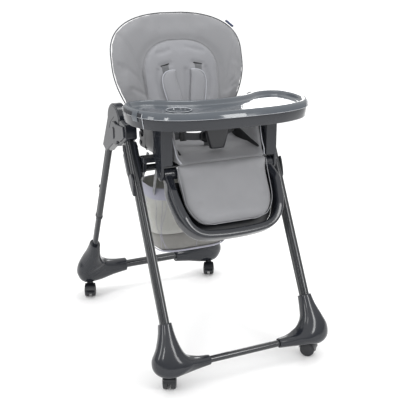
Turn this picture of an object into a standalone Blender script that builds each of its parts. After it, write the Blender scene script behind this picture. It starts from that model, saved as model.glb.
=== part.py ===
"""Baby high chair: folding A-frame on casters, height-adjustable seat, reclining back,
tilting leg rest and a sliding tray with a lift-off cover.

Metres, +Z up, origin on the floor under the middle of the chair. The child faces -Y, and
"left" pieces are those at -X. Each joint has an empty on its axis, and its pieces hang on it.
"""

import math

import bmesh
import bpy
import numpy as np
from mathutils import Matrix, Vector

GAP = 0.0003

# A-frame: both legs of a side lie in the plane x = +-LEG_X.
LEG_X = 0.243
FRONT_TILT = math.radians(27.8)
FRONT_Y_AT_MID = -0.1715
REAR_TILT = math.radians(26.3)
REAR_Y_AT_MID = 0.184
MID_Z = 0.5
FRONT_TUBE = (0.0140, 0.0180)
REAR_TUBE = (0.0108, 0.0150)
REAR_LOWER_TUBE = (0.0092, 0.0132)
TUBE_JOINT_Z = 0.350
FOLD_Y, FOLD_Z = 0.005, 0.705
BAR_Y = 0.385
FRONT_BAR_Z, FRONT_BAR_R = 0.0735, 0.0105
REAR_BAR_Z, REAR_BAR_R = 0.0980, 0.0145
FRONT_SLEEVE_X, REAR_SLEEVE_X = 0.122, 0.105
SOCKET_DEPTH = 0.020

# Hinge housings at the top of the frame.
CAP_X = (0.2300, 0.2597)
PLATE_X = (0.2601, 0.2661)
DISC_R = 0.043
BUSH_R = 0.0194

# Casters.
CASTER_X, CASTER_Y = 0.250, 0.380
WHEEL_R = 0.0235
WHEEL_HALF_WIDTH = 0.0215
CASTER_TRAIL = 0.012
CASTER_TOP_Z = 0.0615
CASTER_NECK_R = 0.0095

# Seat, carried by two sliders on the front legs.
SLIDER_Z = 0.635
SEAT_HALF = 0.158
SEAT_FLOOR_Z = 0.6285
SEAT_WALL = 0.005
SEAT_PAD_TOP = 0.660
CROSS_TUBE_Y, CROSS_TUBE_Z, CROSS_TUBE_R = -0.118, 0.6155, 0.0105
POST_X = (0.1585, 0.1955)
POST_TOP_Z = 0.7665
LEG_REST_Y, LEG_REST_Z = -0.195, 0.610
LEG_REST_TILT = math.radians(36.0)

# Backrest: a plane leaning back from its foot, and its widest half width.
BACK_FOOT = Vector((0.0, 0.030, 0.660))
BACK_TILT = math.radians(16.0)
BACK_PIVOT = Vector((0.0, 0.050, 0.655))
BACK_HALF = 0.2235
BACK_WIDEST = 0.273
BACK_TOP = 0.416
BACK_CURL = 0.024

# Tray.
TRAY_BOTTOM_Z = 0.767
TRAY_FLOOR_Z = TRAY_BOTTOM_Z + 0.0375
CUP_CENTRE = Vector((-0.140, -0.217, 0.0))
CUP_R = 0.036

SIDES = (("left", -1), ("right", 1))
CORNERS = (
    ("front_left", -1, -1, -25.0),
    ("front_right", 1, -1, 40.0),
    ("rear_left", -1, 1, 160.0),
    ("rear_right", 1, 1, 155.0),
)

X_AXIS, Y_AXIS, Z_AXIS = Vector((1, 0, 0)), Vector((0, 1, 0)), Vector((0, 0, 1))
FRONT_UP = Vector((0, math.sin(FRONT_TILT), math.cos(FRONT_TILT)))
FRONT_BACK = Vector((0, math.cos(FRONT_TILT), -math.sin(FRONT_TILT)))
REAR_UP = Vector((0, -math.sin(REAR_TILT), math.cos(REAR_TILT)))
REAR_BACK = Vector((0, math.cos(REAR_TILT), math.sin(REAR_TILT)))
BACK_UP = Vector((0, math.sin(BACK_TILT), math.cos(BACK_TILT)))
BACK_OUT = Vector((0, math.cos(BACK_TILT), -math.sin(BACK_TILT)))
REST_DOWN = Vector((0, -math.sin(LEG_REST_TILT), -math.cos(LEG_REST_TILT)))
REST_OUT = Vector((0, -math.cos(LEG_REST_TILT), math.sin(LEG_REST_TILT)))


def clear_scene():
    for obj in list(bpy.data.objects):
        bpy.data.objects.remove(obj, do_unlink=True)


def make_material(name, colour, roughness, metallic=0.0):
    made = bpy.data.materials.new(name)
    made.use_nodes = True
    shader = made.node_tree.nodes["Principled BSDF"]
    shader.inputs["Base Color"].default_value = (*colour, 1.0)
    shader.inputs["Roughness"].default_value = roughness
    shader.inputs["Metallic"].default_value = metallic
    made.diffuse_color = (*colour, 1.0)
    return made


clear_scene()
SLATE = make_material("slate_plastic", (0.060, 0.070, 0.082), 0.28)
DARK = make_material("dark_plastic", (0.030, 0.034, 0.040), 0.35)
TUBE = make_material("painted_tube", (0.070, 0.078, 0.088), 0.30, 0.35)
COVER = make_material("cover_plastic", (0.16, 0.18, 0.20), 0.12)
LEATHERETTE = make_material("grey_leatherette", (0.36, 0.37, 0.40), 0.55)
WEBBING = make_material("grey_webbing", (0.12, 0.12, 0.13), 0.80)
MESH_FABRIC = make_material("mesh_fabric", (0.50, 0.49, 0.46), 0.85)
RUBBER = make_material("wheel_rubber", (0.035, 0.037, 0.040), 0.45)


# ---------------------------------------------------------------- joints and helpers


def front_axis(z, side):
    return Vector((side * LEG_X, FRONT_Y_AT_MID + math.tan(FRONT_TILT) * (z - MID_Z), z))


def rear_axis(z, side):
    return Vector((side * LEG_X, REAR_Y_AT_MID - math.tan(REAR_TILT) * (z - MID_Z), z))


def back_point(x, s, off):
    """A point at x, s up the backrest, and off behind the front face of its cushion."""
    curl = BACK_CURL * min(1.0, max(0.0, s / 0.12)) * (x / BACK_HALF) ** 2
    return BACK_FOOT + BACK_UP * s + BACK_OUT * (off - curl) + X_AXIS * x


def rest_point(x, s, n):
    """A point at x, s down the leg rest from its pivot, and n in front of its plane."""
    return Vector((x, LEG_REST_Y, LEG_REST_Z)) + REST_DOWN * s + REST_OUT * n


PIVOTS = {}
EMPTIES = {}


def add_pivot(name, where, parent=None):
    PIVOTS[name] = Vector(where)
    empty = bpy.data.objects.new(name + "_pivot", None)
    bpy.context.scene.collection.objects.link(empty)
    empty.empty_display_size = 0.02
    if parent:
        empty.parent = EMPTIES[parent]
        empty.location = PIVOTS[name] - PIVOTS[parent]
    else:
        empty.location = PIVOTS[name]
    EMPTIES[name] = empty


def add(name, bm, material, body, bevel=0.0):
    """Makes the object of a mesh given in world coordinates, hung on its body's pivot."""
    bmesh.ops.recalc_face_normals(bm, faces=bm.faces)
    bmesh.ops.translate(bm, vec=-PIVOTS[body], verts=bm.verts)
    mesh = bpy.data.meshes.new(name)
    bm.to_mesh(mesh)
    bm.free()
    mesh.materials.append(material)
    mesh.shade_smooth()
    mesh.set_sharp_from_angle(angle=math.radians(35))
    obj = bpy.data.objects.new(name, mesh)
    bpy.context.scene.collection.objects.link(obj)
    obj.parent = EMPTIES[body]
    if bevel:
        rounding = obj.modifiers.new("rounding", "BEVEL")
        rounding.width = bevel
        rounding.segments = 1
        rounding.limit_method = "ANGLE"
        rounding.angle_limit = math.radians(40)
    return obj


def combine(obj, body, bm, operation, label, bevel=0.0):
    """A Boolean with a hidden helper: UNION joins its shape, DIFFERENCE cuts it away."""
    helper = add(obj.name + "_" + label, bm, obj.data.materials[0], body, bevel)
    helper.hide_render = True
    helper.display_type = "WIRE"
    step = obj.modifiers.new(label, "BOOLEAN")
    step.operation = operation
    step.solver = "EXACT"
    step.object = helper


def ring(centre, a, b, count=24, power=2.0):
    """Points round a superellipse with half axes a and b; power 2 is an ellipse."""
    points = []
    for i in range(count):
        turn = 2 * math.pi * i / count
        c, s = math.cos(turn), math.sin(turn)
        along = math.copysign(abs(c) ** (2 / power), c)
        across = math.copysign(abs(s) ** (2 / power), s)
        points.append(centre + a * along + b * across)
    return points


def loft(rings, closed=False):
    """Joins rings of equal length by quads; the ends are capped unless it closes on itself."""
    bm = bmesh.new()
    rows = [[bm.verts.new(point) for point in points] for points in rings]
    pairs = list(zip(rows, rows[1:]))
    if closed:
        pairs.append((rows[-1], rows[0]))
    for low, high in pairs:
        for i in range(len(low)):
            j = (i + 1) % len(low)
            bm.faces.new((low[i], low[j], high[j], high[i]))
    if not closed:
        bm.faces.new(rows[0])
        bm.faces.new(rows[-1])
    return bm


def prism(outline, x0, x1):
    """An outline of (y, z) points drawn along X."""
    return loft([[Vector((x, y, z)) for y, z in outline] for x in (x0, x1)])


def arc(y, z, radius, start, end, count, squash=1.0):
    """Points (y, z) on an arc; angles in degrees from +Y towards +Z."""
    turns = np.radians(np.linspace(start, end, count))
    return [(y + radius * math.cos(t), z + radius * squash * math.sin(t)) for t in turns]


def block(centre, half, axes=(X_AXIS, Y_AXIS, Z_AXIS)):
    corners = [(-1, -1), (1, -1), (1, 1), (-1, 1)]
    rings = []
    for k in (-1, 1):
        middle = Vector(centre) + axes[2] * half[2] * k
        rings.append([middle + axes[0] * half[0] * i + axes[1] * half[1] * j for i, j in corners])
    return loft(rings)


def cylinder(centre, axis, radius, half_length, count=24):
    side = axis.orthogonal().normalized()
    other = axis.cross(side).normalized()
    ends = [Vector(centre) + axis * half_length * k for k in (-1, 1)]
    return loft([ring(end, side * radius, other * radius, count) for end in ends])


def smooth_path(points, count):
    """Evenly spaced points of a Catmull-Rom curve through the given 2D points."""
    padded = [2 * np.array(points[0]) - points[1]] + [np.array(p, float) for p in points]
    padded.append(2 * padded[-1] - padded[-2])
    dense = []
    for p0, p1, p2, p3 in zip(padded, padded[1:], padded[2:], padded[3:]):
        for t in np.linspace(0, 1, 24, endpoint=False):
            bend = 2 * p0 - 5 * p1 + 4 * p2 - p3
            twist = 3 * p1 - p0 - 3 * p2 + p3
            dense.append(0.5 * (2 * p1 + (p2 - p0) * t + bend * t**2 + twist * t**3))
    dense.append(padded[-2])
    dense = np.array(dense)
    run = np.concatenate([[0], np.cumsum(np.linalg.norm(np.diff(dense, axis=0), axis=1))])
    at = np.linspace(0, run[-1], count)
    return np.stack([np.interp(at, run, dense[:, k]) for k in range(2)], axis=1)


# ---------------------------------------------------------------- A-frame


def leg_profile(centre, along, across, size, grooved=False):
    """A tube's oval section; the extruded front legs have shallow lengthwise grooves."""
    points = ring(centre, along * size[0], across * size[1], 32)
    if grooved:
        for i in (1, 4, 12, 15, 19, 22, 26, 29):
            points[i] = centre + (points[i] - centre) * 0.93
    return points


def make_front_legs():
    for name, side in SIDES:
        rings = []
        for z in (0.176, 0.728):
            centre = front_axis(z, side)
            rings.append(leg_profile(centre, X_AXIS * side, FRONT_BACK, FRONT_TUBE, True))
        add("front_leg_" + name, loft(rings), TUBE, "front_frame")


def make_rear_legs():
    for name, side in SIDES:
        upper = []
        for z, grow in ((0.650, 0), (TUBE_JOINT_Z, 0), (TUBE_JOINT_Z, -1), (TUBE_JOINT_Z + 0.025, -1)):
            size = REAR_TUBE if grow == 0 else [half + 0.0004 for half in REAR_LOWER_TUBE]
            upper.append(leg_profile(rear_axis(z, side), X_AXIS * side, REAR_BACK, size))
        add("rear_leg_upper_" + name, loft(upper), TUBE, "rear_frame")
        lower = []
        for z in (0.208, TUBE_JOINT_Z + 0.0245):
            centre = rear_axis(z, side)
            lower.append(leg_profile(centre, X_AXIS * side, REAR_BACK, REAR_LOWER_TUBE))
        add("rear_leg_lower_" + name, loft(lower), TUBE, "rear_frame")


def make_leg_hooks():
    """A clip on the back of each rear leg holds the folded frame shut."""
    for name, side in SIDES:
        foot = rear_axis(0.455, side)
        centre = foot + REAR_BACK * (REAR_TUBE[1] + GAP + 0.0065)
        shape = block(centre, (0.0070, 0.0065, 0.0120), (X_AXIS, REAR_BACK, REAR_UP))
        add("leg_hook_" + name, shape, DARK, "rear_frame", bevel=0.0022)


def foot_rings(stations, tube_axis, tube_up, tube_back, tube, bar, side, flip):
    """Rings of a foot casting from the leg's socket round the corner to the bar's socket.

    Each station is the inner and the outer point of the casting seen from the front, as
    distances from the middle plane and heights, with its y, half depth and lean.
    """
    rings = []
    top = stations[0]
    centre = tube_axis(top[1], side)
    oval = [half + 0.0008 for half in tube]
    for depth in (SOCKET_DEPTH, 0.0):
        middle = centre - tube_up * depth
        rings.append(ring(middle, X_AXIS * side * oval[0], tube_back * oval[1], 20))
    for inner_x, inner_z, outer_x, outer_z, y, half_depth, lean in stations:
        inner = Vector((side * inner_x, y, inner_z))
        outer = Vector((side * outer_x, y, outer_z))
        depth = Vector((0, math.cos(lean), -flip * math.sin(lean))) * half_depth
        rings.append(ring((inner + outer) / 2, (outer - inner) / 2, depth, 20, 2.25))
    end_x, bar_z, bar_r = bar
    for depth in (0.0, SOCKET_DEPTH):
        middle = Vector((side * (end_x + depth), stations[-1][4], bar_z))
        rings.append(ring(middle, -Z_AXIS * (bar_r + 0.0008), Y_AXIS * (bar_r + 0.0008), 20))
    return rings


def make_feet():
    tilt = FRONT_TILT
    y = [front_axis(z, 1).y for z in (0.193, 0.165, 0.135)]
    front = [
        (0.2235, 0.193, 0.2625, 0.193, y[0], 0.0240, tilt),
        (0.2205, 0.165, 0.2700, 0.165, y[1], 0.0265, tilt),
        (0.2135, 0.136, 0.2850, 0.132, y[2] - 0.002, 0.0310, tilt * 0.8),
        (0.2030, 0.115, 0.3000, 0.100, -0.3740, 0.0380, tilt * 0.5),
        (0.1915, 0.1035, 0.2965, 0.069, -0.3810, 0.0420, tilt * 0.2),
        (0.1790, 0.0970, 0.2700, 0.0525, -0.3845, 0.0400, 0.0),
        (0.1640, 0.0925, 0.2250, 0.0515, -BAR_Y, 0.0300, 0.0),
        (0.1470, 0.0895, 0.1700, 0.0555, -BAR_Y, 0.0210, 0.0),
        (FRONT_SLEEVE_X, 0.0880, FRONT_SLEEVE_X, 0.0590, -BAR_Y, 0.0150, 0.0),
    ]
    tilt = REAR_TILT
    y = [rear_axis(z, 1).y for z in (0.225, 0.185, 0.155)]
    rear = [
        (0.2250, 0.225, 0.2610, 0.225, y[0], 0.0225, tilt),
        (0.2200, 0.186, 0.2690, 0.186, y[1], 0.0300, tilt),
        (0.2090, 0.157, 0.2830, 0.150, y[2] + 0.006, 0.0370, tilt * 0.8),
        (0.1960, 0.1420, 0.2960, 0.118, 0.3720, 0.0410, tilt * 0.5),
        (0.1840, 0.1345, 0.2960, 0.088, 0.3810, 0.0420, tilt * 0.2),
        (0.1700, 0.1290, 0.2740, 0.0570, 0.3845, 0.0395, 0.0),
        (0.1520, 0.1255, 0.2200, 0.0545, BAR_Y, 0.0310, 0.0),
        (0.1320, 0.1235, 0.1600, 0.0660, BAR_Y, 0.0240, 0.0),
        (REAR_SLEEVE_X, 0.1225, REAR_SLEEVE_X, 0.0735, BAR_Y, 0.0200, 0.0),
    ]
    front_bar = (FRONT_SLEEVE_X, FRONT_BAR_Z, FRONT_BAR_R)
    rear_bar = (REAR_SLEEVE_X, REAR_BAR_Z, REAR_BAR_R)
    for name, side in SIDES:
        rings = foot_rings(front, front_axis, FRONT_UP, FRONT_BACK, FRONT_TUBE, front_bar, side, 1)
        foot = add("front_foot_" + name, loft(rings), SLATE, "front_frame")
        cut_caster_socket(foot, "front_frame", side, -1)
        rings = foot_rings(
            rear, rear_axis, REAR_UP, REAR_BACK, REAR_LOWER_TUBE, rear_bar, side, -1
        )
        foot = add("rear_foot_" + name, loft(rings), SLATE, "rear_frame")
        cut_caster_socket(foot, "rear_frame", side, 1)


def cut_caster_socket(foot, body, side, end):
    centre = (side * CASTER_X, end * CASTER_Y, (CASTER_TOP_Z + 0.0005 + 0.030) / 2)
    half = (CASTER_TOP_Z + 0.0005 - 0.030) / 2
    hole = cylinder(centre, Z_AXIS, CASTER_NECK_R + 0.0001, half, 32)
    combine(foot, body, hole, "DIFFERENCE", "caster_socket")


def make_cross_bars():
    reach = FRONT_SLEEVE_X + SOCKET_DEPTH - 0.001
    centre = (0, -BAR_Y, FRONT_BAR_Z)
    add("front_cross_bar", cylinder(centre, X_AXIS, FRONT_BAR_R, reach, 24), TUBE, "front_frame")
    reach = REAR_SLEEVE_X + SOCKET_DEPTH - 0.001
    centre = (0, BAR_Y, REAR_BAR_Z)
    add("rear_cross_bar", cylinder(centre, X_AXIS, REAR_BAR_R, reach, 24), TUBE, "rear_frame")


def stadium(y, z, radius, half_height, count=9):
    top = arc(y, z + half_height, radius, 0, 180, count)
    return top + arc(y, z - half_height, radius, 180, 360, count)


def make_front_hinges():
    """A collar takes the front leg, and its outer plate reaches back to the fold axis."""
    collar = [
        (-0.0971, 0.7035),
        (-0.0506, 0.6790),
        (-0.0345, 0.6695),
        *arc(FOLD_Y, FOLD_Z, DISC_R + 0.0025, 220, 156, 8),
        (-0.0430, 0.7470),
        (-0.0600, 0.7560),
        (-0.0900, 0.7500),
    ]
    plate = arc(FOLD_Y, FOLD_Z, 0.0365, -150, 120, 22)
    plate += [(-0.0350, 0.7400), (-0.0840, 0.7440), (-0.0900, 0.7080), (-0.0480, 0.6850)]
    bore = leg_profile_cutter
    for name, side in SIDES:
        shape = prism(collar, side * 0.2245, side * (PLATE_X[0] + 0.001))
        hinge = add("front_hinge_" + name, shape, SLATE, "front_frame", bevel=0.0025)
        shape = prism(plate, side * PLATE_X[0], side * PLATE_X[1])
        combine(hinge, "front_frame", shape, "UNION", "plate", bevel=0.0018)
        combine(hinge, "front_frame", bore(side), "DIFFERENCE", "leg_socket")
        slot = prism(stadium(FOLD_Y, FOLD_Z, 0.0068, 0.0110), side * 0.255, side * 0.270)
        combine(hinge, "front_frame", slot, "DIFFERENCE", "button_slot")


def leg_profile_cutter(side):
    size = [half + 0.0004 for half in FRONT_TUBE]
    ends = [front_axis(z, side) for z in (0.640, 0.7285)]
    return loft([ring(end, X_AXIS * side * size[0], FRONT_BACK * size[1], 32) for end in ends])


def make_rear_hinges():
    """A tall rounded cap takes the rear leg and turns on the fold axis."""
    foot = rear_axis(0.632, 1)
    low_front = foot - REAR_BACK * 0.0185
    low_rear = foot + REAR_BACK * 0.0185
    outline = arc(FOLD_Y, FOLD_Z, DISC_R, 158, 300, 14)
    outline += [(low_front.y, low_front.z), (low_rear.y, low_rear.z)]
    outline += arc(0.0205, 0.7420, 0.0565, 0, 180, 17, squash=0.93)
    for name, side in SIDES:
        shape = prism(outline, side * CAP_X[0], side * CAP_X[1])
        cap = add("rear_hinge_" + name, shape, SLATE, "rear_frame", bevel=0.0035)
        ends = [rear_axis(z, side) for z in (0.600, 0.6505)]
        size = [half + 0.0004 for half in REAR_TUBE]
        bore = loft([ring(end, X_AXIS * side * size[0], REAR_BACK * size[1], 32) for end in ends])
        combine(cap, "rear_frame", bore, "DIFFERENCE", "leg_socket")
        recess = cylinder((side * 0.2600, FOLD_Y, FOLD_Z), X_AXIS, BUSH_R + 0.0001, 0.0070, 36)
        combine(cap, "rear_frame", recess, "DIFFERENCE", "bush_seat")
        rings = []
        for x, radius in ((0.2534, BUSH_R), (0.2598, BUSH_R), (0.2598, 0.0178), (0.2534, 0.0178)):
            centre = Vector((side * x, FOLD_Y, FOLD_Z))
            rings.append(ring(centre, Y_AXIS * radius, Z_AXIS * radius, 36))
        add("hinge_bush_" + name, loft(rings, closed=True), TUBE, "front_frame")
        key = prism(stadium(FOLD_Y, FOLD_Z, 0.0063, 0.0110), side * 0.2592, side * 0.2676)
        add("fold_button_" + name, key, DARK, "fold_button_" + name, bevel=0.0012)


# ---------------------------------------------------------------- casters


def wheel_rings(centre, axle):
    """Two domed wheels and the axle between them, turned about the axle direction."""
    side = Z_AXIS
    other = axle.cross(side).normalized()
    half = [
        (WHEEL_HALF_WIDTH, 0.0120),
        (0.0195, 0.0205),
        (0.0150, WHEEL_R),
        (0.0085, WHEEL_R),
        (0.0052, 0.0220),
        (0.0050, 0.0045),
    ]
    stations = half + [(-x, r) for x, r in reversed(half)]
    return [ring(centre + axle * x, side * r, other * r, 18) for x, r in stations]


def hood_outline(y_centre, z_centre):
    """Section of the mudguard: an arc over the wheels with a straight web below it."""
    outer = arc(y_centre, z_centre, 0.0263, 10, 170, 11)
    inner = arc(y_centre, z_centre, 0.0246, 170, 10, 11)
    return outer + inner


def turned(bm, centre, degrees):
    spin = Matrix.Rotation(math.radians(degrees), 3, "Z")
    bmesh.ops.rotate(bm, cent=centre, matrix=spin, verts=bm.verts)
    return bm


def make_casters():
    for name, side, end, swivel in CORNERS:
        stem = Vector((side * CASTER_X, end * CASTER_Y, 0))
        wheel = stem + Vector((0, CASTER_TRAIL, WHEEL_R))
        body = "caster_" + name
        guard = [Vector((0, y, z)) for y, z in hood_outline(wheel.y, wheel.z)]
        rings = [[p + X_AXIS * (stem.x + k * 0.0185) for p in guard] for k in (-1, 1)]
        hood = add("caster_hood_" + name, turned(loft(rings), stem, swivel), DARK, body)
        neck = cylinder(stem + Z_AXIS * 0.0500, Z_AXIS, CASTER_NECK_R, 0.0113, 32)
        combine(hood, body, neck, "UNION", "neck")
        room = cylinder(wheel, X_AXIS, 0.0246, 0.0300, 24)
        combine(hood, body, turned(room, stem, swivel), "DIFFERENCE", "wheel_room")
        web = cylinder(wheel, X_AXIS, 0.0254, 0.0040, 24)
        combine(hood, body, turned(web, stem, swivel), "UNION", "web")
        bore = cylinder(wheel, X_AXIS, 0.0046, 0.0100, 24)
        combine(hood, body, turned(bore, stem, swivel), "DIFFERENCE", "axle_hole")
        low = block(wheel - Z_AXIS * 0.0225, (0.0100, 0.0300, 0.0110))
        combine(hood, body, turned(low, stem, swivel), "DIFFERENCE", "open_bottom")
        rings = wheel_rings(wheel, X_AXIS)
        spun = turned(loft(rings), stem, swivel)
        add("caster_wheels_" + name, spun, RUBBER, "wheels_" + name)


def make_brake_pedals():
    """The rear casters have a foot pedal behind the mudguard."""
    for name, side, end, swivel in CORNERS[2:]:
        stem = Vector((side * CASTER_X, end * CASTER_Y, 0))
        wheel = stem + Vector((0, CASTER_TRAIL, WHEEL_R))
        outline = [
            (wheel.y + 0.0267, wheel.z + 0.0020),
            (wheel.y + 0.0370, wheel.z + 0.0000),
            (wheel.y + 0.0390, wheel.z + 0.0030),
            (wheel.y + 0.0267, wheel.z + 0.0085),
        ]
        shape = prism(outline, stem.x - 0.0140, stem.x + 0.0140)
        pedal = turned(shape, stem, swivel)
        add("brake_pedal_" + name, pedal, SLATE, "brake_" + name, bevel=0.0010)


# ---------------------------------------------------------------- seat carriage


def make_sliders():
    """Each front leg carries a sleeve with a tail, an arm to the seat and a trigger."""
    for name, side in SIDES:
        origin = front_axis(SLIDER_Z, side)
        outward = X_AXIS * side
        bore = [half + 0.0005 for half in FRONT_TUBE]
        stations = [(0.055, 0.0185, 0.0240), (0.047, 0.0205, 0.0265)]
        stations += [(-0.047, 0.0205, 0.0265), (-0.055, 0.0185, 0.0240)]
        rings = []
        for up, a, b in stations:
            rings.append(ring(origin + FRONT_UP * up, outward * a, FRONT_BACK * b, 28, 3.0))
        for up in (-0.055, 0.055):
            centre = origin + FRONT_UP * up
            rings.append(ring(centre, outward * bore[0], FRONT_BACK * bore[1], 28))
        body = "seat_carriage"
        slider = add("slider_" + name, loft(rings, closed=True), SLATE, body)
        combine(slider, body, slider_tail(origin, outward), "UNION", "tail", bevel=0.0012)
        centre = Vector((side * 0.1920, -0.1190, 0.6430))
        arm = block(centre, (0.0333, 0.0220, 0.0080))
        combine(slider, body, arm, "UNION", "arm", bevel=0.0020)
        housing = block(
            origin + FRONT_BACK * 0.0300, (0.0150, 0.0070, 0.0350), (X_AXIS, FRONT_BACK, FRONT_UP)
        )
        combine(slider, body, housing, "UNION", "housing", bevel=0.0020)
        pocket = block(
            origin + FRONT_BACK * 0.0390, (0.0105, 0.0100, 0.0290), (X_AXIS, FRONT_BACK, FRONT_UP)
        )
        combine(slider, body, pocket, "DIFFERENCE", "trigger_pocket")
        socket = cylinder(
            (side * 0.2170, CROSS_TUBE_Y, CROSS_TUBE_Z), X_AXIS, CROSS_TUBE_R + GAP, 0.006, 24
        )
        combine(slider, body, socket, "DIFFERENCE", "tube_socket")
        make_trigger(name, origin)


def slider_tail(origin, outward):
    """The pointed tongue under the sleeve on the leg's outer side."""
    outline = [(-0.0150, -0.040), (-0.0140, -0.062), (-0.0060, -0.100), (0.0, -0.107)]
    outline += [(0.0060, -0.100), (0.0140, -0.062), (0.0150, -0.040)]
    rings = []
    for x in (0.0150, 0.0198):
        rings.append([origin + outward * x + FRONT_BACK * v + FRONT_UP * u for v, u in outline])
    return loft(rings)


def make_trigger(name, origin):
    rings = []
    for up, depth in ((-0.0285, 0.0375), (-0.018, 0.043), (0.004, 0.047), (0.018, 0.0455), (0.0285, 0.0395)):
        low = origin + FRONT_UP * up
        near = low + FRONT_BACK * 0.0345
        far = low + FRONT_BACK * depth
        half = X_AXIS * 0.0100
        rings.append([near - half, near + half, far + half * 0.8, far - half * 0.8])
    add("height_trigger_" + name, loft(rings), DARK, "trigger_" + name, bevel=0.0012)


def make_cross_tube():
    reach = 0.2165
    centre = (0, CROSS_TUBE_Y, CROSS_TUBE_Z)
    add("seat_cross_tube", cylinder(centre, X_AXIS, CROSS_TUBE_R, reach, 24), TUBE, "seat_carriage")


def tub_ring(y, half, floor, top, wall, base, corner):
    """A U section across the seat: outer side down and up, then back along the inner side."""

    def side_of(inset, low, radius):
        wide = half - inset
        turns = np.radians(np.linspace(0, 90, 5))
        right = [(wide, top)]
        for t in turns:
            x = wide - radius + radius * math.cos(t)
            right.append((x, low + radius - radius * math.sin(t)))
        return [(-x, z) for x, z in right] + list(reversed(right))

    outer = side_of(0.0, floor, corner)
    inner = side_of(wall, floor + base, max(corner - wall, 0.004))
    return [Vector((x, y, z)) for x, z in outer + list(reversed(inner))]


def make_seat_shell():
    rings = []
    for y, top in ((-0.186, 0.690), (-0.176, 0.722), (-0.155, 0.742), (-0.060, 0.744), (0.024, 0.735)):
        rings.append(tub_ring(y, SEAT_HALF, SEAT_FLOOR_Z, top, SEAT_WALL, 0.005, 0.030))
    shell = add("seat_shell", loft(rings), DARK, "seat_carriage")
    outline = [(0.0100, 0.6420)] + arc(BACK_PIVOT.y, BACK_PIVOT.z, 0.0130, 270, 450, 11)
    outline += [(0.0100, 0.6900)]
    for name, side in SIDES:
        ear = prism(outline, side * 0.1530, side * 0.1580)
        combine(shell, "seat_carriage", ear, "UNION", "ear_" + name)
        hole = cylinder((side * 0.1550, BACK_PIVOT.y, BACK_PIVOT.z), X_AXIS, 0.0061, 0.0060, 32)
        combine(shell, "seat_carriage", hole, "DIFFERENCE", "ear_hole_" + name)


def make_seat_cushion():
    """The seat pad: a thick base with wings up the sides, rounded over at the knees."""
    floor = SEAT_FLOOR_Z + 0.005 + GAP
    half = SEAT_HALF - SEAT_WALL - GAP
    stations = [
        (-0.2330, 0.1400, 0.6395, 0.6470, 0.005),
        (-0.2285, 0.1460, 0.6375, 0.6540, 0.013),
        (-0.2130, 0.1470, 0.6365, 0.6620, 0.017),
        (-0.2020, 0.1480, 0.6345, 0.6820, 0.020),
        (-0.1920, half, floor, 0.7050, 0.022),
        (-0.1780, half, floor, 0.7380, 0.025),
        (-0.1500, half, floor, 0.7480, 0.026),
        (-0.0600, half, floor, 0.7490, 0.026),
        (0.0230, half, floor, 0.7400, 0.024),
    ]
    rings = []
    for y, wide, low, top, base in stations:
        corner = min(0.025, (top - low) * 0.45)
        rings.append(tub_ring(y, wide, low, top, 0.011, base, corner))
    add("seat_cushion", loft(rings), LEATHERETTE, "seat_carriage")


def make_arm_posts():
    """Each side post carries the tray on its top and the leg rest's pivot at its foot."""
    outline = [(-0.2140, POST_TOP_Z), (-0.2140, 0.6200)]
    outline += arc(LEG_REST_Y, LEG_REST_Z, 0.0188, 180, 330, 12)
    outline += [(-0.1620, 0.6400), (-0.1450, 0.6600), (-0.1420, 0.6750)]
    outline += [(-0.1500, 0.7000), (-0.1450, 0.7250), (-0.1280, POST_TOP_Z)]
    for name, side in SIDES:
        shape = prism(outline, side * POST_X[0], side * POST_X[1])
        post = add("arm_post_" + name, shape, SLATE, "seat_carriage", bevel=0.0030)
        room = cylinder((side * 0.1620, LEG_REST_Y, LEG_REST_Z), X_AXIS, 0.0245, 0.0241, 24)
        combine(post, "seat_carriage", room, "DIFFERENCE", "hinge_room")
        below = block((side * 0.1620, LEG_REST_Y, 0.5960), (0.0241, 0.0320, 0.0150))
        combine(post, "seat_carriage", below, "DIFFERENCE", "open_foot")
        hole = cylinder((side * 0.1860, LEG_REST_Y, LEG_REST_Z), X_AXIS, 0.0081, 0.0075, 32)
        combine(post, "seat_carriage", hole, "DIFFERENCE", "pivot_hole")


def make_basket():
    """An open storage bag under the seat: one wall with a rounded floor."""
    outer = []
    stations = [(0.5150, 0.1500, 0.0950), (0.4600, 0.1500, 0.0930), (0.3900, 0.1560, 0.0930)]
    stations += [(0.3250, 0.1400, 0.0860), (0.2900, 0.1200, 0.0720), (0.2810, 0.0950, 0.0520)]
    for z, wide, deep in stations:
        outer.append((Vector((0, 0.0400, z)), wide, deep))
    rings = [ring(c, X_AXIS * w, Y_AXIS * d, 28, 4.0) for c, w, d in outer]
    lift = Z_AXIS * 0.004
    inner = [ring(c, X_AXIS * (w - 0.004), Y_AXIS * (d - 0.004), 28, 4.0) for c, w, d in outer[:-1]]
    c, w, d = outer[-1]
    inner.append(ring(c + lift, X_AXIS * (w - 0.006), Y_AXIS * (d - 0.006), 28, 4.0))
    rings = list(reversed(inner)) + rings
    bag = add("basket", loft(rings), MESH_FABRIC, "seat_carriage")
    for name, side in SIDES:
        runs = (((0.1418, -0.0150, 0.4950), (0.1660, -0.1045, 0.6045)),)
        runs += (((0.1460, 0.0850, 0.4950), (0.1480, 0.0100, 0.6280)),)
        for label, (low, high) in zip(("front", "rear"), runs):
            path = [Vector((side * x, y, z)) for x, y, z in (low, high)]
            strap = loft(strap_rings(path, Y_AXIS, 0.0125, X_AXIS, 0.0013))
            combine(bag, "seat_carriage", strap, "UNION", label + "_strap_" + name)


def strap_rings(path, width_axis, half_width, out, half_thick):
    corners = ((-1, -1), (1, -1), (1, 1), (-1, 1))
    return [
        [p + width_axis * half_width * i + out * half_thick * j for i, j in corners] for p in path
    ]


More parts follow.
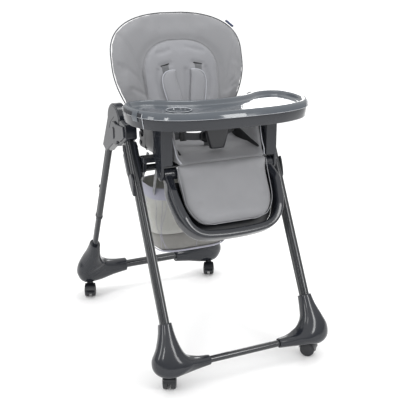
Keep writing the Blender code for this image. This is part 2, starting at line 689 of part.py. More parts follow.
def make_lap_belt():
    """The waist strap crosses the seat, with the buckle in front of its middle."""
    path = []
    for x in np.linspace(-0.138, 0.138, 15):
        path.append(Vector((x, -0.1060 + 0.062 * (abs(x) / 0.138) ** 2, 0.6960)))
    rings = []
    for i, p in enumerate(path):
        ahead = path[min(i + 1, len(path) - 1)] - path[max(i - 1, 0)]
        out = Z_AXIS.cross(ahead).normalized()
        rings += strap_rings([p], Z_AXIS, 0.0120, out, 0.0012)
    add("lap_belt", loft(rings), WEBBING, "seat_carriage")
    buckle = block((0, -0.1165, 0.6940), (0.0230, 0.0080, 0.0180))
    body = add("buckle", buckle, DARK, "seat_carriage", bevel=0.0030)
    seat = cylinder((0, -0.1245, 0.6940), Y_AXIS, 0.0095, 0.0045, 24)
    combine(body, "seat_carriage", seat, "DIFFERENCE", "button_seat")
    button = cylinder((0, -0.1243, 0.6940), Y_AXIS, 0.0090, 0.0020, 24)
    add("buckle_button", button, SLATE, "buckle_button")


# ---------------------------------------------------------------- backrest


def back_half_width(s, widest=BACK_HALF):
    """Half width of the back at height s: it flares from the seat, then arches over."""
    if s <= BACK_WIDEST:
        t = s / BACK_WIDEST
        return 0.1385 + (widest - 0.1385) * math.sin(math.pi / 2 * min(1.0, t * 1.12)) ** 1.3
    t = min(1.0, (s - BACK_WIDEST) / (BACK_TOP - BACK_WIDEST))
    return widest * (1 - t**2.4) ** (1 / 2.4)


def sheet_ring(s, half, front, back, edge_front, edge_back, count=11):
    """A lens-shaped section across the back at height s, between two depths."""
    spread = np.sin(np.linspace(-math.pi / 2, math.pi / 2, count))
    near, far = [], []
    for k in spread:
        bow = k**4
        near.append(back_point(half * k, s, front + (edge_front - front) * bow))
        far.append(back_point(half * k, s, back + (edge_back - back) * bow))
    return near + list(reversed(far))


def make_back_shell():
    rings = []
    for s in (0.020, 0.070, 0.130, 0.190, 0.250, 0.295, 0.330, 0.360, 0.384, 0.400):
        half = max(back_half_width(s) - 0.016, 0.1515)
        if s > 0.35:
            half = back_half_width(s) - 0.016
        rings.append(sheet_ring(s, half, 0.0310, 0.0370, 0.0310, 0.0370))
    shell = add("back_shell", loft(rings), DARK, "backrest")
    outline = arc(BACK_PIVOT.y, BACK_PIVOT.z, 0.0100, 120, 270, 9)
    outline += [(0.0650, 0.6500), (0.0790, 0.6720), (0.0790, 0.6860), (0.0720, 0.6820)]
    for name, side in SIDES:
        knuckle = prism(outline, side * 0.1475, side * 0.1525)
        combine(shell, "backrest", knuckle, "UNION", "knuckle_" + name)
        stub = cylinder((side * 0.1540, BACK_PIVOT.y, BACK_PIVOT.z), X_AXIS, 0.0060, 0.0040, 24)
        combine(shell, "backrest", stub, "UNION", "stub_" + name)


def make_back_cushion():
    rings = []
    for s in (0.012, 0.026, 0.070, 0.130, 0.190, 0.250, 0.295, 0.330, 0.362, 0.387, 0.404, 0.4115):
        half = back_half_width(s)
        thin = 0.5 if s in (0.012, 0.4115) else 1.0
        front, back = 0.0150 - 0.0150 * thin, 0.0150 + 0.0152 * thin
        rings.append(sheet_ring(s, half, front, back, 0.0080, 0.0220))
    add("back_cushion", loft(rings), LEATHERETTE, "backrest")


def make_back_insert():
    """The reducer pad on the front of the cushion, arched at the top."""
    rings = []
    top, arch = 0.318, 0.110
    for s in (0.012, 0.030, 0.090, 0.150, top - arch, 0.250, 0.280, 0.300, 0.311, 0.3165):
        half = 0.132 if s <= top - arch else 0.132 * (1 - ((s - top + arch) / arch) ** 2.3) ** (1 / 2.3)
        thin = 0.45 if s in (0.012, 0.3165) else 1.0
        rings.append(sheet_ring(s, half, -0.0140 * thin, -0.0012, -0.0065, -0.0012, 9))
    add("back_insert", loft(rings), LEATHERETTE, "backrest")


def make_harness():
    """Shoulder straps come out of two slots and run under their pads."""
    for name, side in SIDES:
        path = [(0.060, 0.238), (0.058, 0.215), (0.054, 0.180), (0.050, 0.130), (0.047, 0.080)]
        rings = []
        for x, s in path:
            rings.append([back_point(side * x + i * 0.0110, s, off) for i, off in STRAP_CORNERS])
        add("shoulder_strap_" + name, loft(rings), WEBBING, "backrest")
        rings = []
        pad = [(0.056, 0.2215, 0.010), (0.0558, 0.217, 0.021), (0.055, 0.208, 0.0265)]
        pad += [(0.051, 0.160, 0.0275), (0.047, 0.105, 0.0275), (0.0468, 0.100, 0.0255)]
        for x, s, half in pad:
            middle = back_point(side * x, s, -0.0222)
            rings.append(ring(middle, X_AXIS * half, BACK_OUT * 0.0045, 14, 2.6))
        add("shoulder_pad_" + name, loft(rings), LEATHERETTE, "backrest")


STRAP_CORNERS = ((-1, -0.0150), (1, -0.0150), (1, -0.0168), (-1, -0.0168))


def make_recline_handle():
    """The squeeze handle behind the back lifts to release the recline."""
    centre = back_point(0, 0.215, 0.0465)
    handle = block(centre, (0.0550, 0.0090, 0.0110), (X_AXIS, BACK_OUT, BACK_UP))
    add("recline_handle", handle, SLATE, "recline_handle", bevel=0.0050)


# ---------------------------------------------------------------- leg rest


def make_leg_rest():
    right = [(0.1715, 0.006), (0.1722, 0.032), (0.1755, 0.060), (0.1715, 0.100)]
    right += [(0.1620, 0.145), (0.1420, 0.182), (0.1080, 0.203), (0.0500, 0.210)]
    points = [(-x, s) for x, s in right] + [(0.0, 0.211)] + [(x, s) for x, s in reversed(right)]
    path = smooth_path(points, 25)
    rings = []
    for i, (x, s) in enumerate(path):
        dx, ds = path[min(i + 1, len(path) - 1)] - path[max(i - 1, 0)]
        length = math.hypot(dx, ds)
        side = X_AXIS * (-ds / length) + REST_DOWN * (dx / length)
        reach = min(1.0, max(0.0, (s - 0.015) / 0.045))
        low = -0.0140 - 0.0110 * reach
        high = 0.0150 + 0.0180 * reach - 0.0120 * max(0.0, (s - 0.150) / 0.060)
        centre = rest_point(x, s, (low + high) / 2)
        rings.append(ring(centre, side * 0.0125, REST_OUT * ((high - low) / 2), 14, 3.5))
    frame = add("leg_rest_frame", loft(rings), SLATE, "leg_rest")
    for name, side in SIDES:
        boss = cylinder((side * 0.1625, LEG_REST_Y, LEG_REST_Z), X_AXIS, 0.0180, 0.0225, 28)
        combine(frame, "leg_rest", boss, "UNION", "boss_" + name)
        stub = cylinder((side * 0.1870, LEG_REST_Y, LEG_REST_Z), X_AXIS, 0.0080, 0.0060, 32)
        combine(frame, "leg_rest", stub, "UNION", "stub_" + name)


def rest_outline(stations, shrink):
    right = [(x - shrink, s) for x, s in stations]
    return [(-x, s) for x, s in right] + list(reversed(right))


def make_leg_rest_panel():
    stations = [(0.1440, 0.024), (0.1560, 0.050), (0.1570, 0.090), (0.1480, 0.135)]
    stations += [(0.1310, 0.165), (0.1050, 0.184), (0.0500, 0.193)]
    outline = rest_outline(stations, 0.0)
    rings = [[rest_point(x, s, n) for x, s in outline] for n in (-0.0210, -0.0160)]
    add("leg_rest_panel", loft(rings), DARK, "leg_rest")


def make_calf_pad():
    rings = []
    layers = [(-0.0155, 0.0040), (-0.0120, 0.0), (0.0150, 0.0), (0.0200, 0.0060)]
    base = [(0.1420, 0.022), (0.1410, 0.055), (0.1400, 0.100), (0.1370, 0.130)]
    base += [(0.1260, 0.156), (0.1080, 0.172), (0.0850, 0.180)]
    for n, shrink in layers:
        outline = []
        for x, s in rest_outline(base, shrink):
            outline.append(rest_point(x, 0.100 + (s - 0.100) * (1 - shrink * 6), n))
        rings.append(outline)
    add("calf_pad", loft(rings), LEATHERETTE, "leg_rest")


# ---------------------------------------------------------------- tray


def tray_outline(inset):
    """The tray's plan, drawn in by inset: bowed front, rounded ends and a belly cut-out."""
    right = [(0.0, -0.362), (0.090, -0.358), (0.165, -0.345), (0.232, -0.313)]
    right += [(0.270, -0.266), (0.286, -0.212), (0.286, -0.152), (0.273, -0.108)]
    right += [(0.243, -0.085), (0.207, -0.080), (0.168, -0.092), (0.118, -0.126)]
    right += [(0.060, -0.148), (0.0, -0.154)]
    half = smooth_path(right, 21)
    around = np.concatenate([half, (half * [-1, 1])[-2:0:-1]])
    ahead = np.roll(around, -1, axis=0) - np.roll(around, 1, axis=0)
    inward = np.stack([-ahead[:, 1], ahead[:, 0]], axis=1)
    inward /= np.linalg.norm(inward, axis=1)[:, None]
    return around + inward * inset


def tray_rings(section):
    rings = []
    for inset, up in section:
        rings.append([Vector((x, y, TRAY_BOTTOM_Z + up)) for x, y in tray_outline(inset)])
    return rings


def cup_tool(radius, low, high):
    half = (high - low) / 2
    centre = CUP_CENTRE + Z_AXIS * (TRAY_BOTTOM_Z + low + half)
    return cylinder(centre, Z_AXIS, radius, half, 32)


def make_tray():
    """A base shell with a down-turned skirt, and a cover that lies over its rim."""
    base = [
        (0.0330, 0.0308), (0.0255, 0.0318), (0.0195, 0.0378), (0.0140, 0.0430), (0.0105, 0.0385),
        (0.0063, 0.0300), (0.0120, 0.0), (0.0085, 0.0), (0.0031, 0.0325),
        (0.0078, 0.0420), (0.0130, 0.0475), (0.0175, 0.0435), (0.0240, 0.0352), (0.0300, 0.0338),
    ]
    body = add("tray_base", loft(tray_rings(base)), SLATE, "tray")
    for name, side in SIDES:
        rail = block((side * 0.1770, -0.2080, TRAY_BOTTOM_Z + 0.0160), (0.0110, 0.1080, 0.0160))
        combine(body, "tray", rail, "UNION", "rail_" + name)
    combine(body, "tray", cup_tool(CUP_R + 0.0066, 0.0190, 0.0325), "UNION", "cup_well")
    combine(body, "tray", cup_tool(CUP_R + 0.0036, 0.0215, 0.0400), "DIFFERENCE", "cup_pocket")
    cover = [
        (0.0300, 0.0343), (0.0243, 0.0357), (0.0176, 0.0445), (0.0130, 0.0482), (0.0070, 0.0428),
        (0.0026, 0.0330), (0.0, 0.0330), (0.0040, 0.0460), (0.0120, 0.0520),
        (0.0200, 0.0492), (0.0258, 0.0400), (0.0320, 0.0375),
    ]
    lid = add("tray_cover", loft(tray_rings(cover)), COVER, "tray_cover")
    combine(lid, "tray_cover", cup_tool(CUP_R + 0.0030, 0.0225, 0.0360), "UNION", "cup_wall")
    combine(lid, "tray_cover", cup_tool(CUP_R, 0.0255, 0.0500), "DIFFERENCE", "cup_hollow")


def make_crotch_post():
    rings = []
    for z, wide, deep in ((0.7975, 0.0430, 0.0165), (0.7300, 0.0390, 0.0150), (0.6760, 0.0245, 0.0110)):
        rings.append(ring(Vector((0, -0.1850, z)), X_AXIS * wide, Y_AXIS * deep, 20, 4.0))
    rings.append(ring(Vector((0, -0.1850, 0.6710)), X_AXIS * 0.0210, Y_AXIS * 0.0085, 20, 4.0))
    add("crotch_post", loft(rings), DARK, "tray")


def make_tray_release():
    handle = block((0, -0.2920, TRAY_BOTTOM_Z + 0.0245), (0.0420, 0.0100, 0.0055))
    add("tray_release", handle, SLATE, "tray_release", bevel=0.0020)


# ---------------------------------------------------------------- whole chair


def add_pivots():
    add_pivot("front_frame", (0, 0, 0))
    add_pivot("rear_frame", (0, FOLD_Y, FOLD_Z), "front_frame")
    for name, side in SIDES:
        add_pivot("fold_button_" + name, (side * PLATE_X[1], FOLD_Y, FOLD_Z), "front_frame")
    add_pivot("seat_carriage", front_axis(SLIDER_Z, 0), "front_frame")
    for name, side in SIDES:
        place = front_axis(SLIDER_Z, side) + FRONT_BACK * 0.0400
        add_pivot("trigger_" + name, place, "seat_carriage")
    add_pivot("backrest", BACK_PIVOT, "seat_carriage")
    add_pivot("recline_handle", back_point(0, 0.215, 0.0465), "backrest")
    add_pivot("leg_rest", (0, LEG_REST_Y, LEG_REST_Z), "seat_carriage")
    add_pivot("buckle_button", (0, -0.1243, 0.6940), "seat_carriage")
    add_pivot("tray", (0, -0.2300, TRAY_BOTTOM_Z), "seat_carriage")
    add_pivot("tray_cover", (0, -0.2300, TRAY_FLOOR_Z), "tray")
    add_pivot("tray_release", (0, -0.2920, TRAY_BOTTOM_Z + 0.0245), "tray")
    for name, side, end, swivel in CORNERS:
        frame = "front_frame" if end < 0 else "rear_frame"
        stem = Vector((side * CASTER_X, end * CASTER_Y, CASTER_TOP_Z))
        add_pivot("caster_" + name, stem, frame)
        spin = Matrix.Rotation(math.radians(swivel), 3, "Z")
        hub = stem + spin @ Vector((0, CASTER_TRAIL, 0))
        hub.z = WHEEL_R
        add_pivot("wheels_" + name, hub, "caster_" + name)
        if end > 0:
            pedal = stem + spin @ Vector((0, CASTER_TRAIL + 0.0277, 0))
            pedal.z = WHEEL_R + 0.0050
            add_pivot("brake_" + name, pedal, "caster_" + name)


def main():
    add_pivots()
    make_front_legs()
    make_rear_legs()
    make_leg_hooks()
    make_feet()
    make_cross_bars()
    make_front_hinges()
    make_rear_hinges()
    make_casters()
    make_brake_pedals()
    make_sliders()
    make_cross_tube()
    make_seat_shell()
    make_seat_cushion()
    make_arm_posts()
    make_basket()
    make_lap_belt()
    make_back_shell()
    make_back_cushion()
    make_back_insert()
    make_harness()
    make_recline_handle()
    make_leg_rest()
    make_leg_rest_panel()
    make_calf_pad()
    make_tray()
    make_crotch_post()
    make_tray_release()


main()
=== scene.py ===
import math

import bpy
import numpy as np
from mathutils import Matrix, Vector


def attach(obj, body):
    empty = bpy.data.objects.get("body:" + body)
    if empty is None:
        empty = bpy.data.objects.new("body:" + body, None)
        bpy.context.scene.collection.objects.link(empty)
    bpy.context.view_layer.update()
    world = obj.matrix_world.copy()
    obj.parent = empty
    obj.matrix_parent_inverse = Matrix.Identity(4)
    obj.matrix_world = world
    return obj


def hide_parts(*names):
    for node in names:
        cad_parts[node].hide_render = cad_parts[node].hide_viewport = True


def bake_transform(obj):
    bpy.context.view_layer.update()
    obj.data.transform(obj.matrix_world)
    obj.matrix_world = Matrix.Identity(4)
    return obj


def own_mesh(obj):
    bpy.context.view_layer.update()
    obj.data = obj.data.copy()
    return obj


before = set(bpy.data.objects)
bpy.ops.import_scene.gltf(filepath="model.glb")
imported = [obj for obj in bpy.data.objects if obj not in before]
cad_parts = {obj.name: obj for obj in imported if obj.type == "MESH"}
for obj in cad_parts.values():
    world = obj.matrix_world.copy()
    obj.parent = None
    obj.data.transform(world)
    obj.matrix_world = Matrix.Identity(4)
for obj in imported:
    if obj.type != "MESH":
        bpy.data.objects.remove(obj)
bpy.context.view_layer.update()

# ---------------------------------------------------------------- dimensions shared with the CAD

LEG_X = 0.243
FRONT_TILT, REAR_TILT = math.radians(27.8), math.radians(26.3)
BACK_TILT, REST_TILT = math.radians(16.0), math.radians(36.0)
FOLD_Y, FOLD_Z = 0.005, 0.705
BAR_Y = 0.385
SLIDER_Z = 0.635
REST_Y, REST_Z = -0.195, 0.610
BACK_FOOT = Vector((0.0, 0.030, 0.660))
BACK_PIVOT = Vector((0.0, 0.050, 0.655))
CUP_CENTRE = Vector((-0.140, -0.217, 0.0))
TRAY_LOW = 0.767
SIDES = (("left", -1), ("right", 1))
CORNERS = (
    ("front_left", -1, -1, -25.0),
    ("front_right", 1, -1, 40.0),
    ("rear_left", -1, 1, 160.0),
    ("rear_right", 1, 1, 155.0),
)
X, Y, Z = Vector((1, 0, 0)), Vector((0, 1, 0)), Vector((0, 0, 1))
FRONT_UP = Vector((0, math.sin(FRONT_TILT), math.cos(FRONT_TILT)))
FRONT_BACK = Vector((0, math.cos(FRONT_TILT), -math.sin(FRONT_TILT)))
REAR_UP = Vector((0, -math.sin(REAR_TILT), math.cos(REAR_TILT)))
REAR_BACK = Vector((0, math.cos(REAR_TILT), math.sin(REAR_TILT)))
BACK_UP = Vector((0, math.sin(BACK_TILT), math.cos(BACK_TILT)))
BACK_OUT = Vector((0, math.cos(BACK_TILT), -math.sin(BACK_TILT)))
REST_DOWN = Vector((0, -math.sin(REST_TILT), -math.cos(REST_TILT)))
REST_OUT = Vector((0, -math.cos(REST_TILT), math.sin(REST_TILT)))


def front_axis(z, side):
    return Vector((side * LEG_X, -0.1715 + math.tan(FRONT_TILT) * (z - 0.5), z))


def rear_axis(z, side):
    return Vector((side * LEG_X, 0.184 - math.tan(REAR_TILT) * (z - 0.5), z))


def back_point(x, s, off):
    curl = 0.024 * min(1.0, max(0.0, s / 0.12)) * (x / 0.2235) ** 2
    return BACK_FOOT + BACK_UP * s + BACK_OUT * (off - curl) + X * x


def rest_point(x, s, n):
    return Vector((x, REST_Y, REST_Z)) + REST_DOWN * s + REST_OUT * n


# ---------------------------------------------------------------- materials


class Shader:
    """A Principled material with a small node graph in object coordinates."""

    def __init__(self, name, colour, roughness, metallic=0.0):
        self.material = bpy.data.materials.new(name)
        self.material.use_nodes = True
        self.tree = self.material.node_tree
        self.shader = self.tree.nodes["Principled BSDF"]
        self.set("Base Color", (*colour, 1.0))
        self.set("Roughness", roughness)
        self.set("Metallic", metallic)
        self.material.diffuse_color = (*colour, 1.0)
        self.place = self.node("ShaderNodeTexCoord").outputs["Object"]
        self.last_bump = None

    def node(self, kind, **inputs):
        made = self.tree.nodes.new(kind)
        for key, value in inputs.items():
            made.inputs[key.replace("_", " ")].default_value = value
        return made

    def set(self, key, value):
        self.shader.inputs[key].default_value = value

    def link(self, output, socket):
        self.tree.links.new(output, socket)

    def noise(self, scale, detail=3.0, stretch=None, rough=0.55):
        made = self.node("ShaderNodeTexNoise", Scale=scale, Detail=detail, Roughness=rough)
        if stretch:
            mapping = self.node("ShaderNodeMapping")
            mapping.inputs["Scale"].default_value = stretch
            self.link(self.place, mapping.inputs["Vector"])
            self.link(mapping.outputs["Vector"], made.inputs["Vector"])
        else:
            self.link(self.place, made.inputs["Vector"])
        return made.outputs["Fac"]

    def ramp(self, value, low, high, start=0.3, end=0.7):
        made = self.node("ShaderNodeMapRange")
        for key, number in (("From Min", start), ("From Max", end), ("To Min", low), ("To Max", high)):
            made.inputs[key].default_value = number
        self.link(value, made.inputs["Value"])
        return made.outputs["Result"]

    def vary_colour(self, value, dark, light):
        made = self.node("ShaderNodeMix")
        made.data_type = "RGBA"
        made.inputs[6].default_value = (*dark, 1.0)
        made.inputs[7].default_value = (*light, 1.0)
        self.link(value, made.inputs[0])
        self.link(made.outputs[2], self.shader.inputs["Base Color"])

    def bump(self, height, strength, distance):
        made = self.node("ShaderNodeBump", Strength=strength, Distance=distance)
        self.link(height, made.inputs["Height"])
        if self.last_bump:
            self.link(self.last_bump, made.inputs["Normal"])
        self.last_bump = made.outputs["Normal"]
        self.link(self.last_bump, self.shader.inputs["Normal"])


def tint(colour, factor):
    return tuple(c * factor for c in colour)


def plastic(name, colour, rough, coat=0.0, grain=0.02):
    s = Shader(name, colour, rough)
    s.set("Coat Weight", coat)
    s.set("Coat Roughness", 0.06)
    s.set("Specular IOR Level", 0.5)
    s.vary_colour(s.ramp(s.noise(5.0), 0.0, 1.0), tint(colour, 0.96), tint(colour, 1.04))
    s.link(s.ramp(s.noise(14.0, 4.0), rough * 0.92, rough * 1.10), s.shader.inputs["Roughness"])
    s.bump(s.noise(5.0, 1.0), grain, 0.004)
    s.bump(s.noise(1100.0, 2.0), grain, 0.0003)
    return s.material


def fabric(name, colour, wrinkle=0.25, grain=0.10, sheen=0.25, rough=0.60):
    """Soft coated cloth: a fine pebble grain, broad soft ripples and a faint sheen."""
    s = Shader(name, colour, rough)
    s.set("Sheen Weight", sheen)
    s.set("Sheen Roughness", 0.45)
    s.set("Specular IOR Level", 0.35)
    s.vary_colour(s.ramp(s.noise(7.0, 3.0), 0.0, 1.0), tint(colour, 0.95), tint(colour, 1.04))
    s.link(s.ramp(s.noise(30.0, 3.0), rough - 0.07, rough + 0.08), s.shader.inputs["Roughness"])
    cells = s.node("ShaderNodeTexVoronoi", Scale=750.0)
    s.link(s.place, cells.inputs["Vector"])
    s.bump(s.noise(11.0, 3.0, (1.0, 1.0, 0.45)), wrinkle, 0.012)
    s.bump(s.noise(45.0, 2.0, (1.0, 1.0, 0.6)), wrinkle * 0.35, 0.003)
    s.bump(cells.outputs["Distance"], grain, 0.0004)
    return s.material


def woven(name, colour, scale=900.0, dark=0.45, rough=0.8, see_through=0.0):
    """Webbing or net: two crossed sets of threads."""
    s = Shader(name, colour, rough)
    s.set("Sheen Weight", 0.3)
    threads = []
    for direction in ("X", "Z"):
        wave = s.node("ShaderNodeTexWave", Scale=scale / 20.0, Distortion=0.4, Detail=1.0)
        wave.bands_direction = direction
        s.link(s.place, wave.inputs["Vector"])
        threads.append(wave.outputs["Fac"])
    both = s.node("ShaderNodeMath")
    both.operation = "MULTIPLY"
    s.link(threads[0], both.inputs[0])
    s.link(threads[1], both.inputs[1])
    s.vary_colour(s.ramp(both.outputs[0], 0.0, 1.0, 0.05, 0.5), tint(colour, dark), colour)
    s.bump(both.outputs[0], 0.35, 0.0008)
    s.bump(s.noise(25.0), 0.25, 0.004)
    if see_through:
        s.link(s.ramp(both.outputs[0], 1.0 - see_through, 1.0, 0.03, 0.25), s.shader.inputs["Alpha"])
    return s.material


def metal_paint(name, colour, rough, metallic=0.0):
    s = Shader(name, colour, rough, metallic)
    s.set("Coat Weight", 0.25)
    s.set("Coat Roughness", 0.10)
    s.vary_colour(s.ramp(s.noise(6.0), 0.0, 1.0), tint(colour, 0.97), tint(colour, 1.03))
    s.link(s.ramp(s.noise(20.0, 4.0), rough * 0.94, rough * 1.08), s.shader.inputs["Roughness"])
    s.bump(s.noise(1300.0, 2.0), 0.02, 0.0003)
    return s.material


SLATE = plastic("slate_gloss", (0.015, 0.017, 0.022), 0.15)
DARK = plastic("dark_satin", (0.009, 0.010, 0.013), 0.30, 0.0, 0.04)
# near-black paint for painted shade inside recesses, slots and gaps
RECESS_SHADE = plastic("painted_recess_shade", (0.004, 0.005, 0.006), 0.7, 0.0, 0.05)
COVER = plastic("cover_gloss", (0.072, 0.083, 0.097), 0.10, 0.25, 0.01)
# near-white paint for painted highlights along the tray's edges and the cup's lip
EDGE_HIGHLIGHT = plastic("cover_edge_highlight", (0.60, 0.62, 0.66), 0.10, 0.5, 0.01)
TUBE = metal_paint("tube_paint", (0.015, 0.017, 0.020), 0.16)
PALE = fabric("leatherette", (0.235, 0.237, 0.248))
PAD = fabric("pad_leatherette", (0.265, 0.268, 0.285), 0.15)
# a darker copy of the leatherette: painted shade along the knee crease and the insert's outline
CREASE_SHADE = fabric("leatherette_crease_shade", (0.19, 0.192, 0.202), 0.05, 0.05)
PIPING = fabric("piping", (0.44, 0.45, 0.49), 0.05, 0.05)
# a dark cord colour: the shell's dark edge together with painted shade under the pad's rim
EDGE = fabric("shell_edge_shade", (0.060, 0.064, 0.072), 0.05, 0.10)
WEBBING = woven("webbing", (0.165, 0.170, 0.180), 1400.0, 0.6)
NET = woven("net", (0.52, 0.52, 0.49), 5200.0, 0.70, 0.85, 0.30)
NET_LOW = woven("net_double", (0.27, 0.265, 0.25), 5200.0, 0.70, 0.85, 0.10)
TRIM = fabric("bag_trim", (0.30, 0.30, 0.36), 0.15, 0.15)
TYRE = plastic("caster_tread", (0.020, 0.021, 0.024), 0.42, 0.0, 0.06)
STEEL = metal_paint("plated_pin", (0.35, 0.36, 0.38), 0.22, 0.8)
BLUE = woven("blank_tag", (0.010, 0.030, 0.110), 1600.0, 0.7)

# ---------------------------------------------------------------- mesh helpers


def make(name, points, faces, material, sharp=38):
    mesh = bpy.data.meshes.new(name)
    mesh.from_pydata([tuple(p) for p in points], [], faces)
    mesh.validate()
    mesh.materials.append(material)
    mesh.shade_smooth()
    if sharp:
        mesh.set_sharp_from_angle(angle=math.radians(sharp))
    obj = bpy.data.objects.new(name, mesh)
    bpy.context.scene.collection.objects.link(obj)
    return obj


def put(obj, body, *nodes):
    """Finishes a piece: it rides on a body and stands for CAD nodes, which it hides."""
    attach(obj, body)
    if nodes:
        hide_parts(*nodes)
    return obj


def rounded(obj, width, segments=4, angle=35):
    step = obj.modifiers.new("rounding", "BEVEL")
    step.width = width
    step.segments = segments
    step.limit_method = "ANGLE"
    step.angle_limit = math.radians(angle)
    step.harden_normals = True
    return obj


def cut(obj, tool):
    step = obj.modifiers.new("cut", "BOOLEAN")
    step.operation = "DIFFERENCE"
    step.solver = "EXACT"
    step.object = tool
    graph = bpy.context.evaluated_depsgraph_get()
    graph.update()
    mesh = bpy.data.meshes.new_from_object(obj.evaluated_get(graph))
    obj.modifiers.clear()
    obj.data = mesh
    mesh.set_sharp_from_angle(angle=math.radians(38))
    bpy.data.objects.remove(tool, do_unlink=True)


def ring(centre, a, b, count=48, power=2.0):
    points = []
    for i in range(count):
        turn = 2 * math.pi * i / count
        c, s = math.cos(turn), math.sin(turn)
        along = math.copysign(abs(c) ** (2 / power), c)
        across = math.copysign(abs(s) ** (2 / power), s)
        points.append(centre + a * along + b * across)
    return points


def spline(points, count):
    """Evenly spaced points of a Catmull-Rom curve through the given points."""
    p = np.array([tuple(q) for q in points], float)
    p = np.vstack([2 * p[0] - p[1], p, 2 * p[-1] - p[-2]])
    dense = []
    for p0, p1, p2, p3 in zip(p, p[1:], p[2:], p[3:]):
        for t in np.linspace(0, 1, 20, endpoint=False):
            bend = 2 * p0 - 5 * p1 + 4 * p2 - p3
            twist = 3 * p1 - p0 - 3 * p2 + p3
            dense.append(0.5 * (2 * p1 + (p2 - p0) * t + bend * t**2 + twist * t**3))
    dense.append(p[-2])
    dense = np.array(dense)
    run = np.concatenate([[0], np.cumsum(np.linalg.norm(np.diff(dense, axis=0), axis=1))])
    at = np.linspace(0, run[-1], count)
    return np.stack([np.interp(at, run, dense[:, k]) for k in range(p.shape[1])], axis=1)


def smooth_rings(rings, per=5):
    """Adds rings between the given ones, on a smooth curve through matching points."""
    rows = np.array([[tuple(q) for q in r] for r in rings], float)
    p = np.concatenate([rows[:1], rows, rows[-1:]])
    out = []
    for p0, p1, p2, p3 in zip(p, p[1:], p[2:], p[3:]):
        for t in np.linspace(0, 1, per, endpoint=False):
            bend = 2 * p0 - 5 * p1 + 4 * p2 - p3
            twist = 3 * p1 - p0 - 3 * p2 + p3
            out.append(0.5 * (2 * p1 + (p2 - p0) * t + bend * t**2 + twist * t**3))
    out.append(rows[-1])
    return [list(r) for r in out]


def loft(name, rings, material, closed=False, caps=True, sharp=38):
    count = len(rings[0])
    points = [p for r in rings for p in r]
    faces = []
    rows = len(rings)
    for k in range(rows if closed else rows - 1):
        low, high = k * count, ((k + 1) % rows) * count
        for i in range(count):
            j = (i + 1) % count
            faces.append((low + i, low + j, high + j, high + i))
    if caps and not closed:
        faces.append(tuple(reversed(range(count))))
        faces.append(tuple(range((rows - 1) * count, rows * count)))
    obj = make(name, points, faces, material, sharp)
    fix_normals(obj)
    return obj


def fix_normals(obj):
    import bmesh

    bm = bmesh.new()
    bm.from_mesh(obj.data)
    bmesh.ops.recalc_face_normals(bm, faces=bm.faces)
    bm.to_mesh(obj.data)
    bm.free()


def prism(name, outline, x0, x1, material, bevel=0.0, segments=4):
    obj = loft(name, [[Vector((x, y, z)) for y, z in outline] for x in (x0, x1)], material, sharp=0)
    if bevel:
        rounded(obj, bevel, segments)
    else:
        obj.data.set_sharp_from_angle(angle=math.radians(35))
    return obj


def block(name, centre, half, material, axes=(X, Y, Z), bevel=0.002, segments=3):
    centre = Vector(centre)
    rings = []
    for k in (-1, 1):
        middle = centre + axes[2] * half[2] * k
        square = [(-1, -1), (1, -1), (1, 1), (-1, 1)]
        rings.append([middle + axes[0] * half[0] * i + axes[1] * half[1] * j for i, j in square])
    obj = loft(name, rings, material, sharp=0)
    return rounded(obj, bevel, segments) if bevel else obj


def lathe(name, centre, axis, profile, material, count=48, caps=True, sharp=38):
    """Rings of (distance along the axis, radius) round the axis."""
    side = axis.orthogonal().normalized()
    other = axis.cross(side).normalized()
    centre = Vector(centre)
    rings = [ring(centre + axis * at, side * r, other * r, count) for at, r in profile]
    return loft(name, rings, material, caps=caps, sharp=sharp)


def arc(y, z, radius, start, end, count, squash=1.0):
    turns = np.radians(np.linspace(start, end, count))
    return [(y + radius * math.cos(t), z + radius * squash * math.sin(t)) for t in turns]


def cord_mesh(name, path, radius, material, count=10, closed=False, flat=1.0):
    """A thin round piping or seam along a path."""
    path = [Vector(p) for p in path]
    rings = []
    size = len(path)
    for i, p in enumerate(path):
        if closed:
            ahead = path[(i + 1) % size] - path[i - 1]
        else:
            ahead = path[min(i + 1, size - 1)] - path[max(i - 1, 0)]
        ahead.normalize()
        side = ahead.cross(Vector((0.13, 0.2, 0.97))).normalized()
        up = side.cross(ahead).normalized()
        rings.append(ring(p, side * radius, up * radius * flat, count))
    return loft(name, rings, material, closed=closed, sharp=0)


def strap(name, path, width_axis, half_width, half_thick, material, across=None, crown=0.0):
    """A flat strip of webbing along a path, with slightly rounded faces."""
    path = [Vector(p) for p in path]
    rings = []
    for i, p in enumerate(path):
        ahead = (path[min(i + 1, len(path) - 1)] - path[max(i - 1, 0)]).normalized()
        wide = width_axis[i] if isinstance(width_axis, list) else width_axis
        out = ahead.cross(wide).normalized() if across is None else across
        rings.append(ring(p, wide * half_width, out * half_thick, 20, 5.0))
    return loft(name, rings, material, sharp=0)


